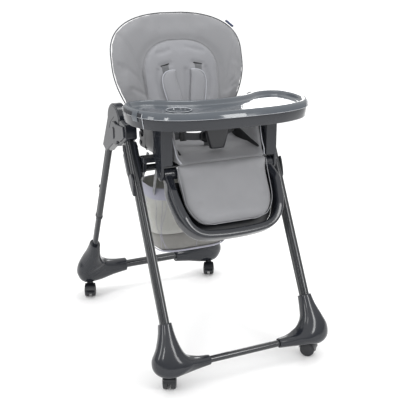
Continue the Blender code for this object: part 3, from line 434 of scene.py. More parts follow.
def puffed(obj, cap, direction=None, pressure=4.0, voxel=0.006, pin=None, rounds=6, stiff=12.0):
    """Remeshes a closed soft form, blows it up as cloth and keeps the result on the mesh.

    cap is how far a point may travel; with a direction, only points facing it move freely.
    pin(co) says which points stay put.
    """
    material = obj.data.materials[0]
    step = obj.modifiers.new("remesh", "REMESH")
    step.mode = "VOXEL"
    step.voxel_size = voxel
    graph = bpy.context.evaluated_depsgraph_get()
    graph.update()
    mesh = bpy.data.meshes.new_from_object(obj.evaluated_get(graph))
    obj.modifiers.clear()
    obj.data = mesh
    mesh.materials.clear()
    mesh.materials.append(material)
    mesh.shade_smooth()
    count = len(mesh.vertices)
    rest = np.empty(count * 3)
    mesh.vertices.foreach_get("co", rest)
    rest = rest.reshape(-1, 3)
    held = [i for i in range(count) if pin and pin(rest[i])]
    if held:
        group = obj.vertex_groups.new(name="held")
        group.add(held, 1.0, "REPLACE")
    cloth = obj.modifiers.new("cloth", "CLOTH")
    settings = cloth.settings
    settings.quality = 4
    settings.mass = 0.25
    settings.tension_stiffness = stiff
    settings.compression_stiffness = stiff
    settings.shear_stiffness = 5.0
    settings.bending_stiffness = 0.6
    settings.use_pressure = True
    settings.uniform_pressure_force = pressure
    settings.effector_weights.gravity = 0.0
    if held:
        settings.vertex_group_mass = "held"
    scene = bpy.context.scene
    for number in range(1, 21):
        scene.frame_set(number)
    graph = bpy.context.evaluated_depsgraph_get()
    moved = np.empty(count * 3)
    obj.evaluated_get(graph).data.vertices.foreach_get("co", moved)
    scene.frame_set(1)
    obj.modifiers.clear()
    obj.vertex_groups.clear()
    step = moved.reshape(-1, 3) - rest
    limit = np.full(count, cap)
    if direction is not None:
        normals = np.empty(count * 3)
        mesh.vertices.foreach_get("normal", normals)
        facing = normals.reshape(-1, 3) @ np.array(direction)
        limit = cap * np.clip(0.12 + 0.88 * facing, 0.05, 1.0)
    size = np.linalg.norm(step, axis=1)
    keep = np.minimum(1.0, limit / np.maximum(size, 1e-9))
    rest = rest + step * keep[:, None]
    mesh.vertices.foreach_set("co", rest.ravel())
    soften(obj, rounds)
    smooth = obj.modifiers.new("finish", "SUBSURF")
    smooth.levels = 1
    smooth.render_levels = 1
    return obj


def soften(obj, rounds):
    import bmesh

    bm = bmesh.new()
    bm.from_mesh(obj.data)
    for _ in range(rounds):
        bmesh.ops.smooth_vert(bm, verts=bm.verts, factor=0.5, use_axis_x=True, use_axis_y=True, use_axis_z=True)
    bm.to_mesh(obj.data)
    bm.free()


# ---------------------------------------------------------------- frame tubes and feet


def grooved_profile(centre, along, across, a, b, grooves, count=240):
    points = []
    for i in range(count):
        turn = 2 * math.pi * i / count
        dent = sum(math.exp(-(((math.degrees(turn) - g + 180) % 360 - 180) / 4.0) ** 2) for g in grooves)
        c, s = math.cos(turn), math.sin(turn)
        x = math.copysign(abs(c) ** (2 / 2.3), c) * (a - 0.0021 * dent)
        y = math.copysign(abs(s) ** (2 / 2.3), s) * (b - 0.0021 * dent)
        points.append(centre + along * x + across * y)
    return points


def make_legs():
    for name, side in SIDES:
        out = X * side
        grooves = (10, 335, 300, 205, 170, 240)
        rings = []
        for z in (0.180, 0.728):
            centre = front_axis(z, side)
            rings.append(grooved_profile(centre, out, FRONT_BACK, 0.0140, 0.0180, grooves))
        put(loft("front_leg_" + name + "_tube", rings, TUBE), "front_frame", "front_leg_" + name)
        rings = []
        for z in (0.350, 0.650):
            centre = rear_axis(z, side)
            rings.append(grooved_profile(centre, out, REAR_BACK, 0.0108, 0.0150, (0, 180)))
        put(loft("rear_leg_" + name + "_upper", rings, TUBE), "rear_frame", "rear_leg_upper_" + name)
        rings = []
        for z in (0.205, 0.372):
            centre = rear_axis(z, side)
            rings.append(grooved_profile(centre, out, REAR_BACK, 0.0092, 0.0132, ()))
        put(loft("rear_leg_" + name + "_lower", rings, SLATE), "rear_frame", "rear_leg_lower_" + name)
        lip = []
        for up, grow in ((-0.003, 0.0), (-0.0025, 0.0012), (0.006, 0.0012), (0.007, 0.0)):
            centre = rear_axis(0.352, side) + REAR_UP * up
            lip.append(ring(centre, out * (0.0109 + grow), REAR_BACK * (0.0151 + grow), 48, 2.3))
        put(loft("rear_leg_" + name + "_lip", lip, DARK), "rear_frame")
        stud = rear_axis(0.338, side) + out * 0.0088
        profile = [(0.0, 0.0038), (0.0012, 0.0038), (0.0020, 0.0030), (0.0022, 0.0010)]
        put(lathe("snap_stud_" + name, stud, out, profile, STEEL, 24), "rear_frame")
        make_hook(name, side)


def make_hook(name, side):
    foot = rear_axis(0.455, side) + REAR_BACK * 0.0150
    axes = (X, REAR_BACK, REAR_UP)
    base = block("hook_base_" + name, foot + REAR_BACK * 0.0020, (0.0068, 0.0022, 0.0125), DARK, axes, 0.0012)
    put(base, "rear_frame", "leg_hook_" + name)
    lip = block(
        "hook_lip_" + name, foot + REAR_BACK * 0.0085 + REAR_UP * 0.0080, (0.0055, 0.0050, 0.0028), DARK, axes, 0.0012
    )
    put(lip, "rear_frame")
    tip = block("hook_tip_" + name, foot + REAR_BACK * 0.0125 + REAR_UP * 0.0035, (0.0055, 0.0016, 0.0055), DARK, axes, 0.0010)
    put(tip, "rear_frame")


def foot_stations(front):
    if front:
        y = [front_axis(z, 1).y for z in (0.193, 0.165, 0.135)]
        t = FRONT_TILT
        return [
            (0.2235, 0.193, 0.2625, 0.193, y[0], 0.0240, t),
            (0.2205, 0.165, 0.2700, 0.165, y[1], 0.0265, t),
            (0.2135, 0.136, 0.2850, 0.132, y[2] - 0.002, 0.0310, t * 0.8),
            (0.2030, 0.115, 0.3000, 0.100, -0.3740, 0.0380, t * 0.5),
            (0.1915, 0.1035, 0.2965, 0.069, -0.3810, 0.0420, t * 0.2),
            (0.1790, 0.0970, 0.2700, 0.0525, -0.3845, 0.0400, 0.0),
            (0.1640, 0.0925, 0.2250, 0.0515, -BAR_Y, 0.0300, 0.0),
            (0.1470, 0.0895, 0.1700, 0.0555, -BAR_Y, 0.0210, 0.0),
            (0.1220, 0.0880, 0.1220, 0.0590, -BAR_Y, 0.0150, 0.0),
        ]
    y = [rear_axis(z, 1).y for z in (0.225, 0.185, 0.155)]
    t = REAR_TILT
    return [
        (0.2250, 0.225, 0.2610, 0.225, y[0], 0.0225, t),
        (0.2200, 0.186, 0.2690, 0.186, y[1], 0.0300, t),
        (0.2090, 0.157, 0.2830, 0.150, y[2] + 0.006, 0.0370, t * 0.8),
        (0.1960, 0.1420, 0.2960, 0.118, 0.3720, 0.0410, t * 0.5),
        (0.1840, 0.1345, 0.2960, 0.088, 0.3810, 0.0420, t * 0.2),
        (0.1700, 0.1290, 0.2740, 0.0570, 0.3845, 0.0395, 0.0),
        (0.1520, 0.1255, 0.2200, 0.0545, BAR_Y, 0.0310, 0.0),
        (0.1320, 0.1235, 0.1600, 0.0660, BAR_Y, 0.0240, 0.0),
        (0.1050, 0.1225, 0.1050, 0.0735, BAR_Y, 0.0200, 0.0),
    ]


def foot_rings(stations, side, flip):
    rings = []
    for inner_x, inner_z, outer_x, outer_z, y, half_depth, lean in stations:
        inner = Vector((side * inner_x, y, inner_z))
        outer = Vector((side * outer_x, y, outer_z))
        depth = Vector((0, math.cos(lean), -flip * math.sin(lean))) * half_depth
        rings.append(ring((inner + outer) / 2, (outer - inner) / 2, depth, 64, 2.3))
    return rings


def shrink(points, factor, shift):
    middle = sum((Vector(p) for p in points), Vector()) / len(points)
    return [middle + (Vector(p) - middle) * factor + shift for p in points]


def make_feet():
    for name, side in SIDES:
        for kind, flip, up in (("front", 1, FRONT_UP), ("rear", -1, REAR_UP)):
            rings = foot_rings(foot_stations(kind == "front"), side, flip)
            middle = smooth_rings(rings, 6)
            inward = -X * side
            top = [shrink(middle[0], f, up * u) for f, u in ((0.86, -0.0005), (0.90, 0.0018), (0.96, 0.0017))]
            end = [shrink(middle[-1], f, inward * u) for f, u in ((0.965, 0.0016), (0.90, 0.0018), (0.84, -0.0005))]
            foot = loft(kind + "_foot_casting_" + name, top + middle + end, SLATE, sharp=50)
            put(foot, kind + "_frame", kind + "_foot_" + name)
            place_screw(kind, name, side)


def place_screw(kind, name, side):
    """A screw head in a small cup on the inner side of the bar sleeve."""
    y, z = (-BAR_Y, 0.0735) if kind == "front" else (BAR_Y, 0.098)
    reach = 0.0150 if kind == "front" else 0.0200
    out = -Y
    x = 0.1330 if kind == "front" else 0.1180
    place = Vector((side * x, y, z)) + out * (reach + 0.0002)
    # the cup is near-black: painted shade in the recess round the screw head
    cup = lathe(kind + "_screw_cup_" + name, place, out, [(-0.004, 0.0042), (0.0006, 0.0042), (0.0010, 0.0036), (0.0002, 0.0030), (-0.0015, 0.0028)], RECESS_SHADE, 24)
    put(cup, kind + "_frame")
    head = lathe(kind + "_screw_" + name, place, out, [(-0.0020, 0.0027), (-0.0004, 0.0027), (0.0, 0.0020)], STEEL, 20)
    put(head, kind + "_frame")


def make_bars():
    for kind, y, z, radius, reach in (("front", -BAR_Y, 0.0735, 0.0105, 0.135), ("rear", BAR_Y, 0.098, 0.0145, 0.118)):
        profile = [(-reach, radius), (reach, radius)]
        bar = lathe(kind + "_bar", (0, y, z), X, profile, TUBE, 64)
        put(bar, kind + "_frame", kind + "_cross_bar")


# ---------------------------------------------------------------- hinges


def stadium(y, z, radius, half_height, count=13):
    top = arc(y, z + half_height, radius, 0, 180, count)
    return top + arc(y, z - half_height, radius, 180, 360, count)


def make_hinges():
    collar = [(-0.0971, 0.7035), (-0.0740, 0.6905), (-0.0506, 0.6790), (-0.0345, 0.6695)]
    collar += arc(FOLD_Y, FOLD_Z, 0.0455, 220, 156, 14)
    collar += arc(-0.0560, 0.7300, 0.0250, 50, 120, 8)
    collar += [(-0.0880, 0.7480), (-0.0935, 0.7400)]
    plate = arc(FOLD_Y, FOLD_Z, 0.0365, -150, 120, 48)
    plate += [(-0.0350, 0.7370), (-0.0800, 0.7400), (-0.0870, 0.7080), (-0.0480, 0.6870)]
    foot = rear_axis(0.632, 1)
    low_front, low_rear = foot - REAR_BACK * 0.0185, foot + REAR_BACK * 0.0185
    cap = arc(FOLD_Y, FOLD_Z, 0.0430, 158, 300, 30)
    cap += [(low_front.y, low_front.z), (low_rear.y, low_rear.z)]
    cap += arc(0.0205, 0.7420, 0.0565, 0, 180, 40, squash=0.93)
    for name, side in SIDES:
        body = "front_frame"
        shape = prism("hinge_collar_" + name, collar, side * 0.2245, side * 0.2620, SLATE, 0.0045, 5)
        put(shape, body, "front_hinge_" + name, "hinge_bush_" + name)
        rings = []
        for up, grow in ((-0.0015, 0.0005), (-0.0012, 0.0042), (0.0050, 0.0046)):
            centre = front_axis(0.6913, side) + FRONT_UP * up
            rings.append(ring(centre, X * side * (0.0140 + grow), FRONT_BACK * (0.0180 + grow), 48, 2.4))
        put(loft("collar_lip_" + name, rings, DARK), body)
        shape = prism("hinge_plate_" + name, plate, side * 0.2600, side * 0.2661, SLATE, 0.0022, 4)
        put(shape, body)
        frame_ring = prism("button_bezel_" + name, stadium(FOLD_Y, FOLD_Z, 0.0092, 0.0110), side * 0.2640, side * 0.2671, DARK, 0.0009)
        put(frame_ring, body)
        # the well is near-black: painted shade inside the fold button's recess
        well = prism("button_well_" + name, stadium(FOLD_Y, FOLD_Z, 0.0071, 0.0110), side * 0.2640, side * 0.2674, RECESS_SHADE, 0.0002, 2)
        put(well, body)
        key = prism("hinge_key_" + name, stadium(FOLD_Y, FOLD_Z, 0.0062, 0.0108), side * 0.2600, side * 0.2690, SLATE, 0.0016)
        put(key, "fold_button_" + name, "fold_button_" + name)
        shape = prism("hinge_cap_" + name, cap, side * 0.2300, side * 0.2597, SLATE, 0.0055, 6)
        put(shape, "rear_frame", "rear_hinge_" + name)
        cover = arc(0.0205, 0.7420, 0.0490, 8, 176, 40, squash=0.92)
        cover += [(-0.0250, 0.7330), (0.0100, 0.7560), (0.0460, 0.7330), (0.0640, 0.7080)]
        panel = prism("hinge_panel_" + name, cover, side * 0.2590, side * 0.2606, SLATE, 0.0007, 2)
        put(panel, "rear_frame")
        rings = []
        for up, grow in ((-0.0035, 0.0008), (-0.0030, 0.0036), (0.0040, 0.0040)):
            centre = rear_axis(0.634, side) + REAR_UP * up
            rings.append(ring(centre, X * side * (0.0108 + grow), REAR_BACK * (0.0150 + grow), 48, 2.4))
        put(loft("cap_lip_" + name, rings, DARK), "rear_frame")


# ---------------------------------------------------------------- casters


def spun(points, stem, degrees):
    t = math.radians(degrees)
    c, s = math.cos(t), math.sin(t)
    out = []
    for p in points:
        dx, dy = p[0] - stem[0], p[1] - stem[1]
        out.append((stem[0] + c * dx - s * dy, stem[1] + s * dx + c * dy, p[2]))
    return out


def turn_piece(obj, stem, degrees):
    for v in obj.data.vertices:
        v.co = Vector(spun([v.co], stem, degrees)[0])
    return obj


def make_casters():
    for name, side, end, swivel in CORNERS:
        stem = Vector((side * 0.250, end * 0.380, 0))
        wheel = stem + Vector((0, 0.012, 0.0235))
        for tag, k in (("a", -1), ("b", 1)):
            profile = [
                (0.0046 * k, 0.0050), (0.0050 * k, 0.0200), (0.0058 * k, 0.0222), (0.0075 * k, 0.0232),
                (0.0100 * k, 0.0235), (0.0150 * k, 0.0235), (0.0180 * k, 0.0226), (0.0198 * k, 0.0200),
                (0.0205 * k, 0.0175), (0.0200 * k, 0.0165), (0.0206 * k, 0.0150), (0.0215 * k, 0.0090), (0.0217 * k, 0.0020),
            ]
            disc = lathe("caster_disc_" + tag + "_" + name, wheel, X, profile, TYRE, 56)
            turn_piece(disc, stem, swivel)
            put(disc, "wheels_" + name, *(["caster_wheels_" + name] if k < 0 else []))
        axle = lathe("caster_axle_" + name, wheel, X, [(-0.006, 0.0045), (0.006, 0.0045)], STEEL, 24)
        put(turn_piece(axle, stem, swivel), "wheels_" + name)
        outer = [Vector((0, y, z)) for y, z in arc(wheel.y, wheel.z, 0.0263, 8, 172, 40)]
        inner = [Vector((0, y, z)) for y, z in arc(wheel.y, wheel.z, 0.0246, 172, 8, 40)]
        rings = []
        for x, draw in ((-0.0185, 0.9985), (-0.0178, 1.0), (0.0178, 1.0), (0.0185, 0.9985)):
            rings.append([p + X * (stem.x + x) for p in outer + inner])
        guard = loft("caster_guard_" + name, rings, DARK, sharp=40)
        put(turn_piece(guard, stem, swivel), "caster_" + name, "caster_hood_" + name)
        outline = arc(wheel.y, wheel.z, 0.0256, -12, 192, 44)
        web = prism("caster_web_" + name, outline, stem.x - 0.0040, stem.x + 0.0040, DARK, 0.0008, 2)
        put(turn_piece(web, stem, swivel), "caster_" + name)
        profile = [(0.0, 0.0125), (0.0035, 0.0118), (0.0050, 0.0098), (0.0140, 0.0095)]
        neck = lathe("caster_neck_" + name, stem + Z * 0.0472, Z, profile, DARK, 40)
        put(neck, "caster_" + name)
        if end > 0:
            outline = [
                (wheel.y + 0.0262, wheel.z + 0.0018), (wheel.y + 0.0360, wheel.z - 0.0002),
                (wheel.y + 0.0392, wheel.z + 0.0012), (wheel.y + 0.0380, wheel.z + 0.0040), (wheel.y + 0.0262, wheel.z + 0.0088),
            ]
            pedal = prism("pedal_" + name, outline, stem.x - 0.0140, stem.x + 0.0140, SLATE, 0.0010, 3)
            put(turn_piece(pedal, stem, swivel), "brake_" + name, "brake_pedal_" + name)
            for i in range(3):
                place = (stem.x, wheel.y + 0.0295 + 0.003 * i, wheel.z + 0.0078 - 0.0012 * i)
                rib = block("pedal_rib_%d_%s" % (i, name), place, (0.0105, 0.0005, 0.0009), DARK, bevel=0.0003, segments=2)
                put(turn_piece(rib, stem, swivel), "brake_" + name)


# ---------------------------------------------------------------- seat carriage


def open_sleeve(centre, out, a, b):
    """A C section round the leg, open at the leg's front outer corner."""
    turns = np.radians(np.linspace(12.0, 262.0, 56))

    def wall(wide, deep):
        points = []
        for t in turns:
            c, s = math.cos(t), math.sin(t)
            across = math.copysign(abs(c) ** 0.64, c) * wide
            along = math.copysign(abs(s) ** 0.64, s) * deep
            points.append(centre + out * across + FRONT_BACK * along)
        return points

    return wall(a, b) + list(reversed(wall(0.0148, 0.0188)))


def make_sliders():
    for name, side in SIDES:
        origin, out = front_axis(SLIDER_Z, side), X * side
        stations = [
            (0.0560, 0.0165, 0.0215), (0.0565, 0.0180, 0.0235), (0.0535, 0.0196, 0.0254), (0.046, 0.0205, 0.0265),
            (-0.046, 0.0205, 0.0265), (-0.0535, 0.0196, 0.0254), (-0.0565, 0.0180, 0.0235), (-0.0560, 0.0165, 0.0215),
        ]
        rings = [open_sleeve(origin + FRONT_UP * u, out, a, b) for u, a, b in stations]
        sleeve = loft("slider_sleeve_" + name, rings, SLATE, sharp=50)
        put(sleeve, "seat_carriage", "slider_" + name)
        for up in (0.041, -0.041):
            rib = [open_sleeve(origin + FRONT_UP * (up + d), out, 0.0205 + g, 0.0265 + g)
                   for d, g in ((-0.0022, -0.0004), (-0.0012, 0.0009), (0.0012, 0.0009), (0.0022, -0.0004))]
            put(loft("slider_rib_%s_%s" % ("top" if up > 0 else "low", name), rib, SLATE), "seat_carriage")
        outline = spline([(-0.0150, -0.040), (-0.0146, -0.062), (-0.0080, -0.095), (0.0, -0.107),
                          (0.0080, -0.095), (0.0146, -0.062), (0.0150, -0.040)], 40)
        rings = [[origin + out * x + FRONT_BACK * v + FRONT_UP * u for v, u in outline] for x in (0.0140, 0.0200)]
        tail = rounded(loft("slider_tail_" + name, rings, SLATE, sharp=0), 0.0018, 4, 50)
        put(tail, "seat_carriage")
        arm = block("slider_arm_" + name, (side * 0.1920, -0.1190, 0.6430), (0.0333, 0.0220, 0.0080), SLATE, bevel=0.0035, segments=4)
        put(arm, "seat_carriage")
        gusset = [(-0.1370, 0.6360), (-0.1010, 0.6360), (-0.1010, 0.6060), (-0.1180, 0.5990), (-0.1320, 0.6060)]
        put(prism("slider_gusset_" + name, gusset, side * 0.2120, side * 0.2235, SLATE, 0.0020, 3), "seat_carriage")
        axes = (X, FRONT_BACK, FRONT_UP)
        housing = block("slider_housing_" + name, origin + FRONT_BACK * 0.0300, (0.0150, 0.0070, 0.0350), SLATE, axes, 0.0030, 4)
        put(housing, "seat_carriage")
        # a thin near-black sheet: painted shade in the trigger's recess
        well = block("trigger_well_" + name, origin + FRONT_BACK * 0.0366, (0.0108, 0.0006, 0.0295), RECESS_SHADE, axes, 0.0002, 2)
        put(well, "seat_carriage")
        profile = spline([(-0.0285, 0.0372), (-0.020, 0.0425), (0.000, 0.0470), (0.014, 0.0462), (0.0285, 0.0392)], 22)
        rings = []
        for up, depth in profile:
            low = origin + FRONT_UP * up
            near, far = low + FRONT_BACK * 0.0345, low + FRONT_BACK * depth
            rings.append([near - X * 0.0098, near + X * 0.0098, far + X * 0.0080, far - X * 0.0080])
        trigger = rounded(loft("trigger_shell_" + name, rings, DARK, sharp=0), 0.0014, 3, 40)
        put(trigger, "height_trigger_" + name, "height_trigger_" + name)
        for i in range(4):
            up = -0.010 + 0.007 * i
            depth = float(np.interp(up, profile[:, 0], profile[:, 1]))
            rib = block("trigger_rib_%d_%s" % (i, name), origin + FRONT_UP * up + FRONT_BACK * depth, (0.0070, 0.0006, 0.0009), SLATE, axes, 0.0003, 2)
            put(rib, "height_trigger_" + name)
    tube = lathe("seat_tube", (0, -0.118, 0.6155), X, [(-0.2165, 0.0105), (0.2165, 0.0105)], TUBE, 48)
    put(tube, "seat_carriage", "seat_cross_tube")


def tub(y, half, floor, top, wall, base, corner, count=7, rise=0.0):
    """A U section across the seat, outer side first."""

    def flank(inset, low, radius):
        wide = half - inset
        right = [(wide, top)]
        for k in np.linspace(0.15, 0.85, 4):
            right.append((wide, top + (low + radius - top) * k))
        for t in np.radians(np.linspace(0, 90, count)):
            right.append((wide - radius + radius * math.cos(t), low + radius - radius * math.sin(t)))
        for k in np.linspace(0.2, 0.8, 4):
            right.append(((wide - radius) * (1 - k), low))
        return [(-x, z) for x, z in right] + list(reversed(right))

    outer, inner = flank(0.0, floor, corner), flank(wall, floor + base, max(corner - wall, 0.006))
    return [Vector((x, y, z)) for x, z in outer + list(reversed(inner))]


def make_seat():
    rings = []
    for y, top in ((-0.186, 0.688), (-0.182, 0.705), (-0.174, 0.724), (-0.155, 0.740), (-0.060, 0.744), (0.010, 0.740), (0.024, 0.733)):
        rings.append(tub(y, 0.158, 0.6285, top, 0.005, 0.005, 0.030))
    put(loft("seat_pan", rings, DARK, sharp=50), "seat_carriage", "seat_shell")
    wall = block("seat_pan_rear", (0, 0.0262, 0.6530), (0.1500, 0.0024, 0.0195), DARK, bevel=0.0012)
    put(wall, "seat_carriage")
    ear = [(0.0100, 0.6420)] + arc(BACK_PIVOT.y, BACK_PIVOT.z, 0.0130, 270, 450, 24) + [(0.0100, 0.6900)]
    for name, side in SIDES:
        put(prism("seat_ear_" + name, ear, side * 0.1530, side * 0.1585, DARK, 0.0012, 3), "seat_carriage")
        profile = [(0.0, 0.0085), (0.0018, 0.0085), (0.0028, 0.0070)]
        boss = lathe("recline_cap_" + name, (side * 0.1580, BACK_PIVOT.y, BACK_PIVOT.z), X * side, profile, SLATE, 32)
        put(boss, "seat_carriage")
    rings = []
    stations = [
        (-0.2335, 0.1385, 0.6400, 0.6455, 0.005), (-0.2300, 0.1440, 0.6380, 0.6520, 0.012),
        (-0.2230, 0.1465, 0.6370, 0.6590, 0.015), (-0.2130, 0.1475, 0.6365, 0.6660, 0.018),
        (-0.2020, 0.1485, 0.6350, 0.6840, 0.021), (-0.1920, 0.1515, 0.6345, 0.7060, 0.023),
        (-0.1790, 0.1515, 0.6345, 0.7370, 0.025), (-0.1560, 0.1515, 0.6345, 0.7470, 0.026),
        (-0.0900, 0.1515, 0.6345, 0.7490, 0.026), (-0.0300, 0.1515, 0.6345, 0.7480, 0.025),
        (0.0150, 0.1510, 0.6345, 0.7440, 0.023), (0.0230, 0.1490, 0.6360, 0.7380, 0.020),
    ]
    for y, wide, low, top, base in stations:
        wall = 0.0155 if y < -0.150 else 0.0125
        rings.append(tub(y, wide, low, top, wall, base, min(0.026, (top - low) * 0.45)))
    cushion = loft("seat_pad", smooth_rings(rings, 3), PALE, sharp=0)
    puffed(cushion, 0.005, None, 3.5, 0.0055, lambda p: p[2] < 0.640 or abs(p[0]) > 0.149)
    put(cushion, "seat_carriage", "seat_cushion")
    # a near-black sheet on the inner side of each seat wall: painted shade in the gap between the seat and the wing
    # flap
    gap = [(0.0000, 0.6870), (-0.0750, 0.7030), (-0.1600, 0.6850), (-0.2060, 0.6705)]
    gap += [(-0.2080, 0.6660), (-0.1500, 0.6690), (-0.0600, 0.6700)]
    for name, side in SIDES:
        shade = prism("wing_gap_shade_" + name, gap, side * 0.1300, side * 0.1360, RECESS_SHADE, 0.0010, 2)
        put(shade, "seat_carriage")
        edge = [(-0.2330, 0.1400, 0.6480), (-0.2190, 0.1470, 0.6620), (-0.2040, 0.1480, 0.6840), (-0.1925, 0.1500, 0.7080),
                (-0.1800, 0.1500, 0.7380), (-0.1560, 0.1470, 0.7495), (-0.0900, 0.1460, 0.7515), (-0.0200, 0.1460, 0.7500), (0.0150, 0.1460, 0.7455)]
        path = spline([(side * x, y, z) for y, x, z in edge], 70)
        put(cord_mesh("seat_piping_" + name, path, 0.0016, PIPING), "seat_carriage")
    # a thin dark cord across the knee: painted shade along the crease
    knee = spline([(x, -0.2335 - 0.002 * math.cos(x * 12), 0.6462) for x in np.linspace(-0.136, 0.136, 9)], 50)
    put(cord_mesh("knee_crease_shade", knee, 0.0011, CREASE_SHADE), "seat_carriage")


def make_posts():
    outline = [(-0.2140, 0.7662), (-0.2140, 0.6200)]
    outline += arc(REST_Y, REST_Z, 0.0188, 180, 330, 30)
    rear = spline([(-0.1780, 0.6040), (-0.1620, 0.6400), (-0.1450, 0.6600), (-0.1430, 0.6780), (-0.1510, 0.7000), (-0.1450, 0.7250), (-0.1280, 0.7662)], 40)
    outline += [tuple(p) for p in rear[1:]]
    for name, side in SIDES:
        cheek = prism("post_" + name, outline, side * 0.1866, side * 0.1955, SLATE, 0.0028, 4)
        put(cheek, "seat_carriage", "arm_post_" + name)
        upper = [(-0.2138, 0.7662), (-0.2138, 0.6370), (-0.1600, 0.6370)] + [tuple(p) for p in rear if p[1] > 0.645]
        put(prism("post_core_" + name, upper, side * 0.1585, side * 0.1900, SLATE, 0.0030, 4), "seat_carriage")
        for tag, x, direction in (("outer", 0.1950, 1),):
            profile = [(0.0, 0.0150), (0.0012, 0.0150), (0.0022, 0.0138), (0.0022, 0.0070), (0.0012, 0.0062), (0.0012, 0.0010)]
            boss = lathe("post_boss_%s_%s" % (tag, name), (side * x, REST_Y, REST_Z), X * side * direction, profile, SLATE, 48)
            put(boss, "seat_carriage")


BAG_FOLD_Z = 0.3720


def make_bag():
    stations = [(0.5150, 0.1500, 0.0950), (0.5050, 0.1500, 0.0948), (0.4600, 0.1485, 0.0915), (0.3900, 0.1535, 0.0925),
                (0.3350, 0.1450, 0.0880), (0.3000, 0.1280, 0.0770), (0.2840, 0.1060, 0.0600), (0.2810, 0.0850, 0.0430)]
    outer = [ring(Vector((0, 0.040, z)), X * w, Y * d, 96, 3.6) for z, w, d in stations]
    inner = [ring(Vector((0, 0.040, z + (0.0012 if z < 0.29 else 0))), X * (w - 0.0014), Y * (d - 0.0014), 96, 3.6) for z, w, d in stations]
    def soft(row):
        out = []
        for p in row:
            z = p[2]
            turn = math.atan2(p[1] - 0.040, p[0])
            sag = 0.0045 * math.sin(turn * 5 + z * 30) * math.exp(-(((z - 0.40) / 0.07) ** 2))
            sag += 0.0022 * math.sin(turn * 13 + z * 55) * math.exp(-(((z - 0.46) / 0.05) ** 2))
            length = math.hypot(p[0], p[1] - 0.040)
            k = (sag + 0.002) / length
            out.append(Vector((p[0] - p[0] * k, p[1] - (p[1] - 0.040) * k, z)))
        return out

    outside, inside = smooth_rings(outer, 4), smooth_rings(inner, 4)
    outside, inside = [soft(r) for r in outside], [soft(r) for r in inside]
    fold = next(i for i, r in enumerate(outside) if r[0][2] < BAG_FOLD_Z)
    bag = loft("storage_bag", outside[: fold + 1] + list(reversed(inside[: fold + 1])), NET, closed=True, sharp=0)
    put(bag, "seat_carriage", "basket")
    put(loft("storage_bag_floor", list(reversed(inside[fold:])) + outside[fold:], NET_LOW, sharp=0), "seat_carriage")
    for tag, low, high, wide, deep in (("rim", 0.4760, 0.5170, 0.1503, 0.0953), ("foot", 0.2860, 0.2960, 0.1195, 0.0705)):
        band = []
        for z, grow in ((low, -0.0012), (low + 0.0015, 0.0014), (high - 0.0015, 0.0012), (high, -0.0002), (high - 0.0015, -0.0026), (low, -0.0026)):
            taper = 0.0 if tag == "rim" else (z - low) * 0.9
            band.append(ring(Vector((0, 0.040, z)), X * (wide + grow + taper), Y * (deep + grow + taper), 96, 3.6))
        put(loft("bag_%s_band" % tag, band, TRIM, closed=True, sharp=60), "seat_carriage")
    size = len(outside[0])
    for k, (first, last) in enumerate(((0, 0), (12, 12), (24, 24), (36, 36), (48, 48), (60, 60), (72, 72), (84, 84), (52, 66), (66, 52), (76, 94), (94, 76))):
        seam = []
        for i, row in enumerate(outside[2:]):
            at = (first + (last - first) * i / (len(outside) - 3)) % size
            seam.append(row[int(at)].lerp(row[(int(at) + 1) % size], at % 1))
        put(cord_mesh("bag_seam_%d" % k, spline(seam, 40), 0.0008, TRIM, 6), "seat_carriage")
    for name, side in SIDES:
        for tag, low, high in (("front", (0.1430, -0.0150, 0.4950), (0.1665, -0.1045, 0.6040)), ("rear", (0.1475, 0.0850, 0.4950), (0.1490, 0.0110, 0.6280))):
            path = spline([(side * low[0], low[1], low[2]), (side * (low[0] + high[0]) / 2, (low[1] + high[1]) / 2 + 0.002, (low[2] + high[2]) / 2 - 0.001), (side * high[0], high[1], high[2])], 14)
            put(strap("bag_strap_%s_%s" % (tag, name), path, Y, 0.0100, 0.0011, WEBBING), "seat_carriage")


def make_belt():
    path = [Vector((x, -0.1060 + 0.062 * (abs(x) / 0.138) ** 2, 0.6960 - 0.004 * math.cos(x * 20))) for x in np.linspace(-0.136, 0.136, 41)]
    put(strap("waist_strap", path, Z, 0.0118, 0.0011, WEBBING), "seat_carriage", "lap_belt")
    rings = []
    for y, wide, tall in ((-0.1245, 0.0205, 0.0155), (-0.1235, 0.0225, 0.0175), (-0.1100, 0.0228, 0.0178), (-0.1088, 0.0210, 0.0160)):
        rings.append(ring(Vector((0, y, 0.6940)), X * wide, Z * tall, 56, 3.0))
    put(loft("harness_buckle", rings, DARK), "seat_carriage", "buckle")
    profile = [(0.0, 0.0088), (0.0016, 0.0088), (0.0024, 0.0078), (0.0018, 0.0030)]
    put(lathe("harness_button", (0, -0.1243, 0.6940), -Y, profile, SLATE, 40), "buckle_button", "buckle_button")
    for name, side in SIDES:
        ladder = block("belt_adjuster_" + name, (side * 0.0700, -0.0905, 0.6940), (0.0110, 0.0022, 0.0145), DARK, bevel=0.0012)
        put(ladder, "seat_carriage")
    crotch = spline([(0, -0.1150, 0.6800), (0, -0.1200, 0.6700), (0, -0.1180, 0.6610)], 10)
    put(strap("crotch_strap", crotch, X, 0.0120, 0.0011, WEBBING), "seat_carriage")


# ---------------------------------------------------------------- backrest


def back_half(s, widest=0.2235, foot=0.1385, top=0.416):
    if s <= 0.273:
        t = s / 0.273
        return foot + (widest - foot) * math.sin(math.pi / 2 * min(1.0, t * 1.12)) ** 1.3
    t = min(1.0, (s - 0.273) / (top - 0.273))
    return widest * (1 - t**2.4) ** (1 / 2.4)


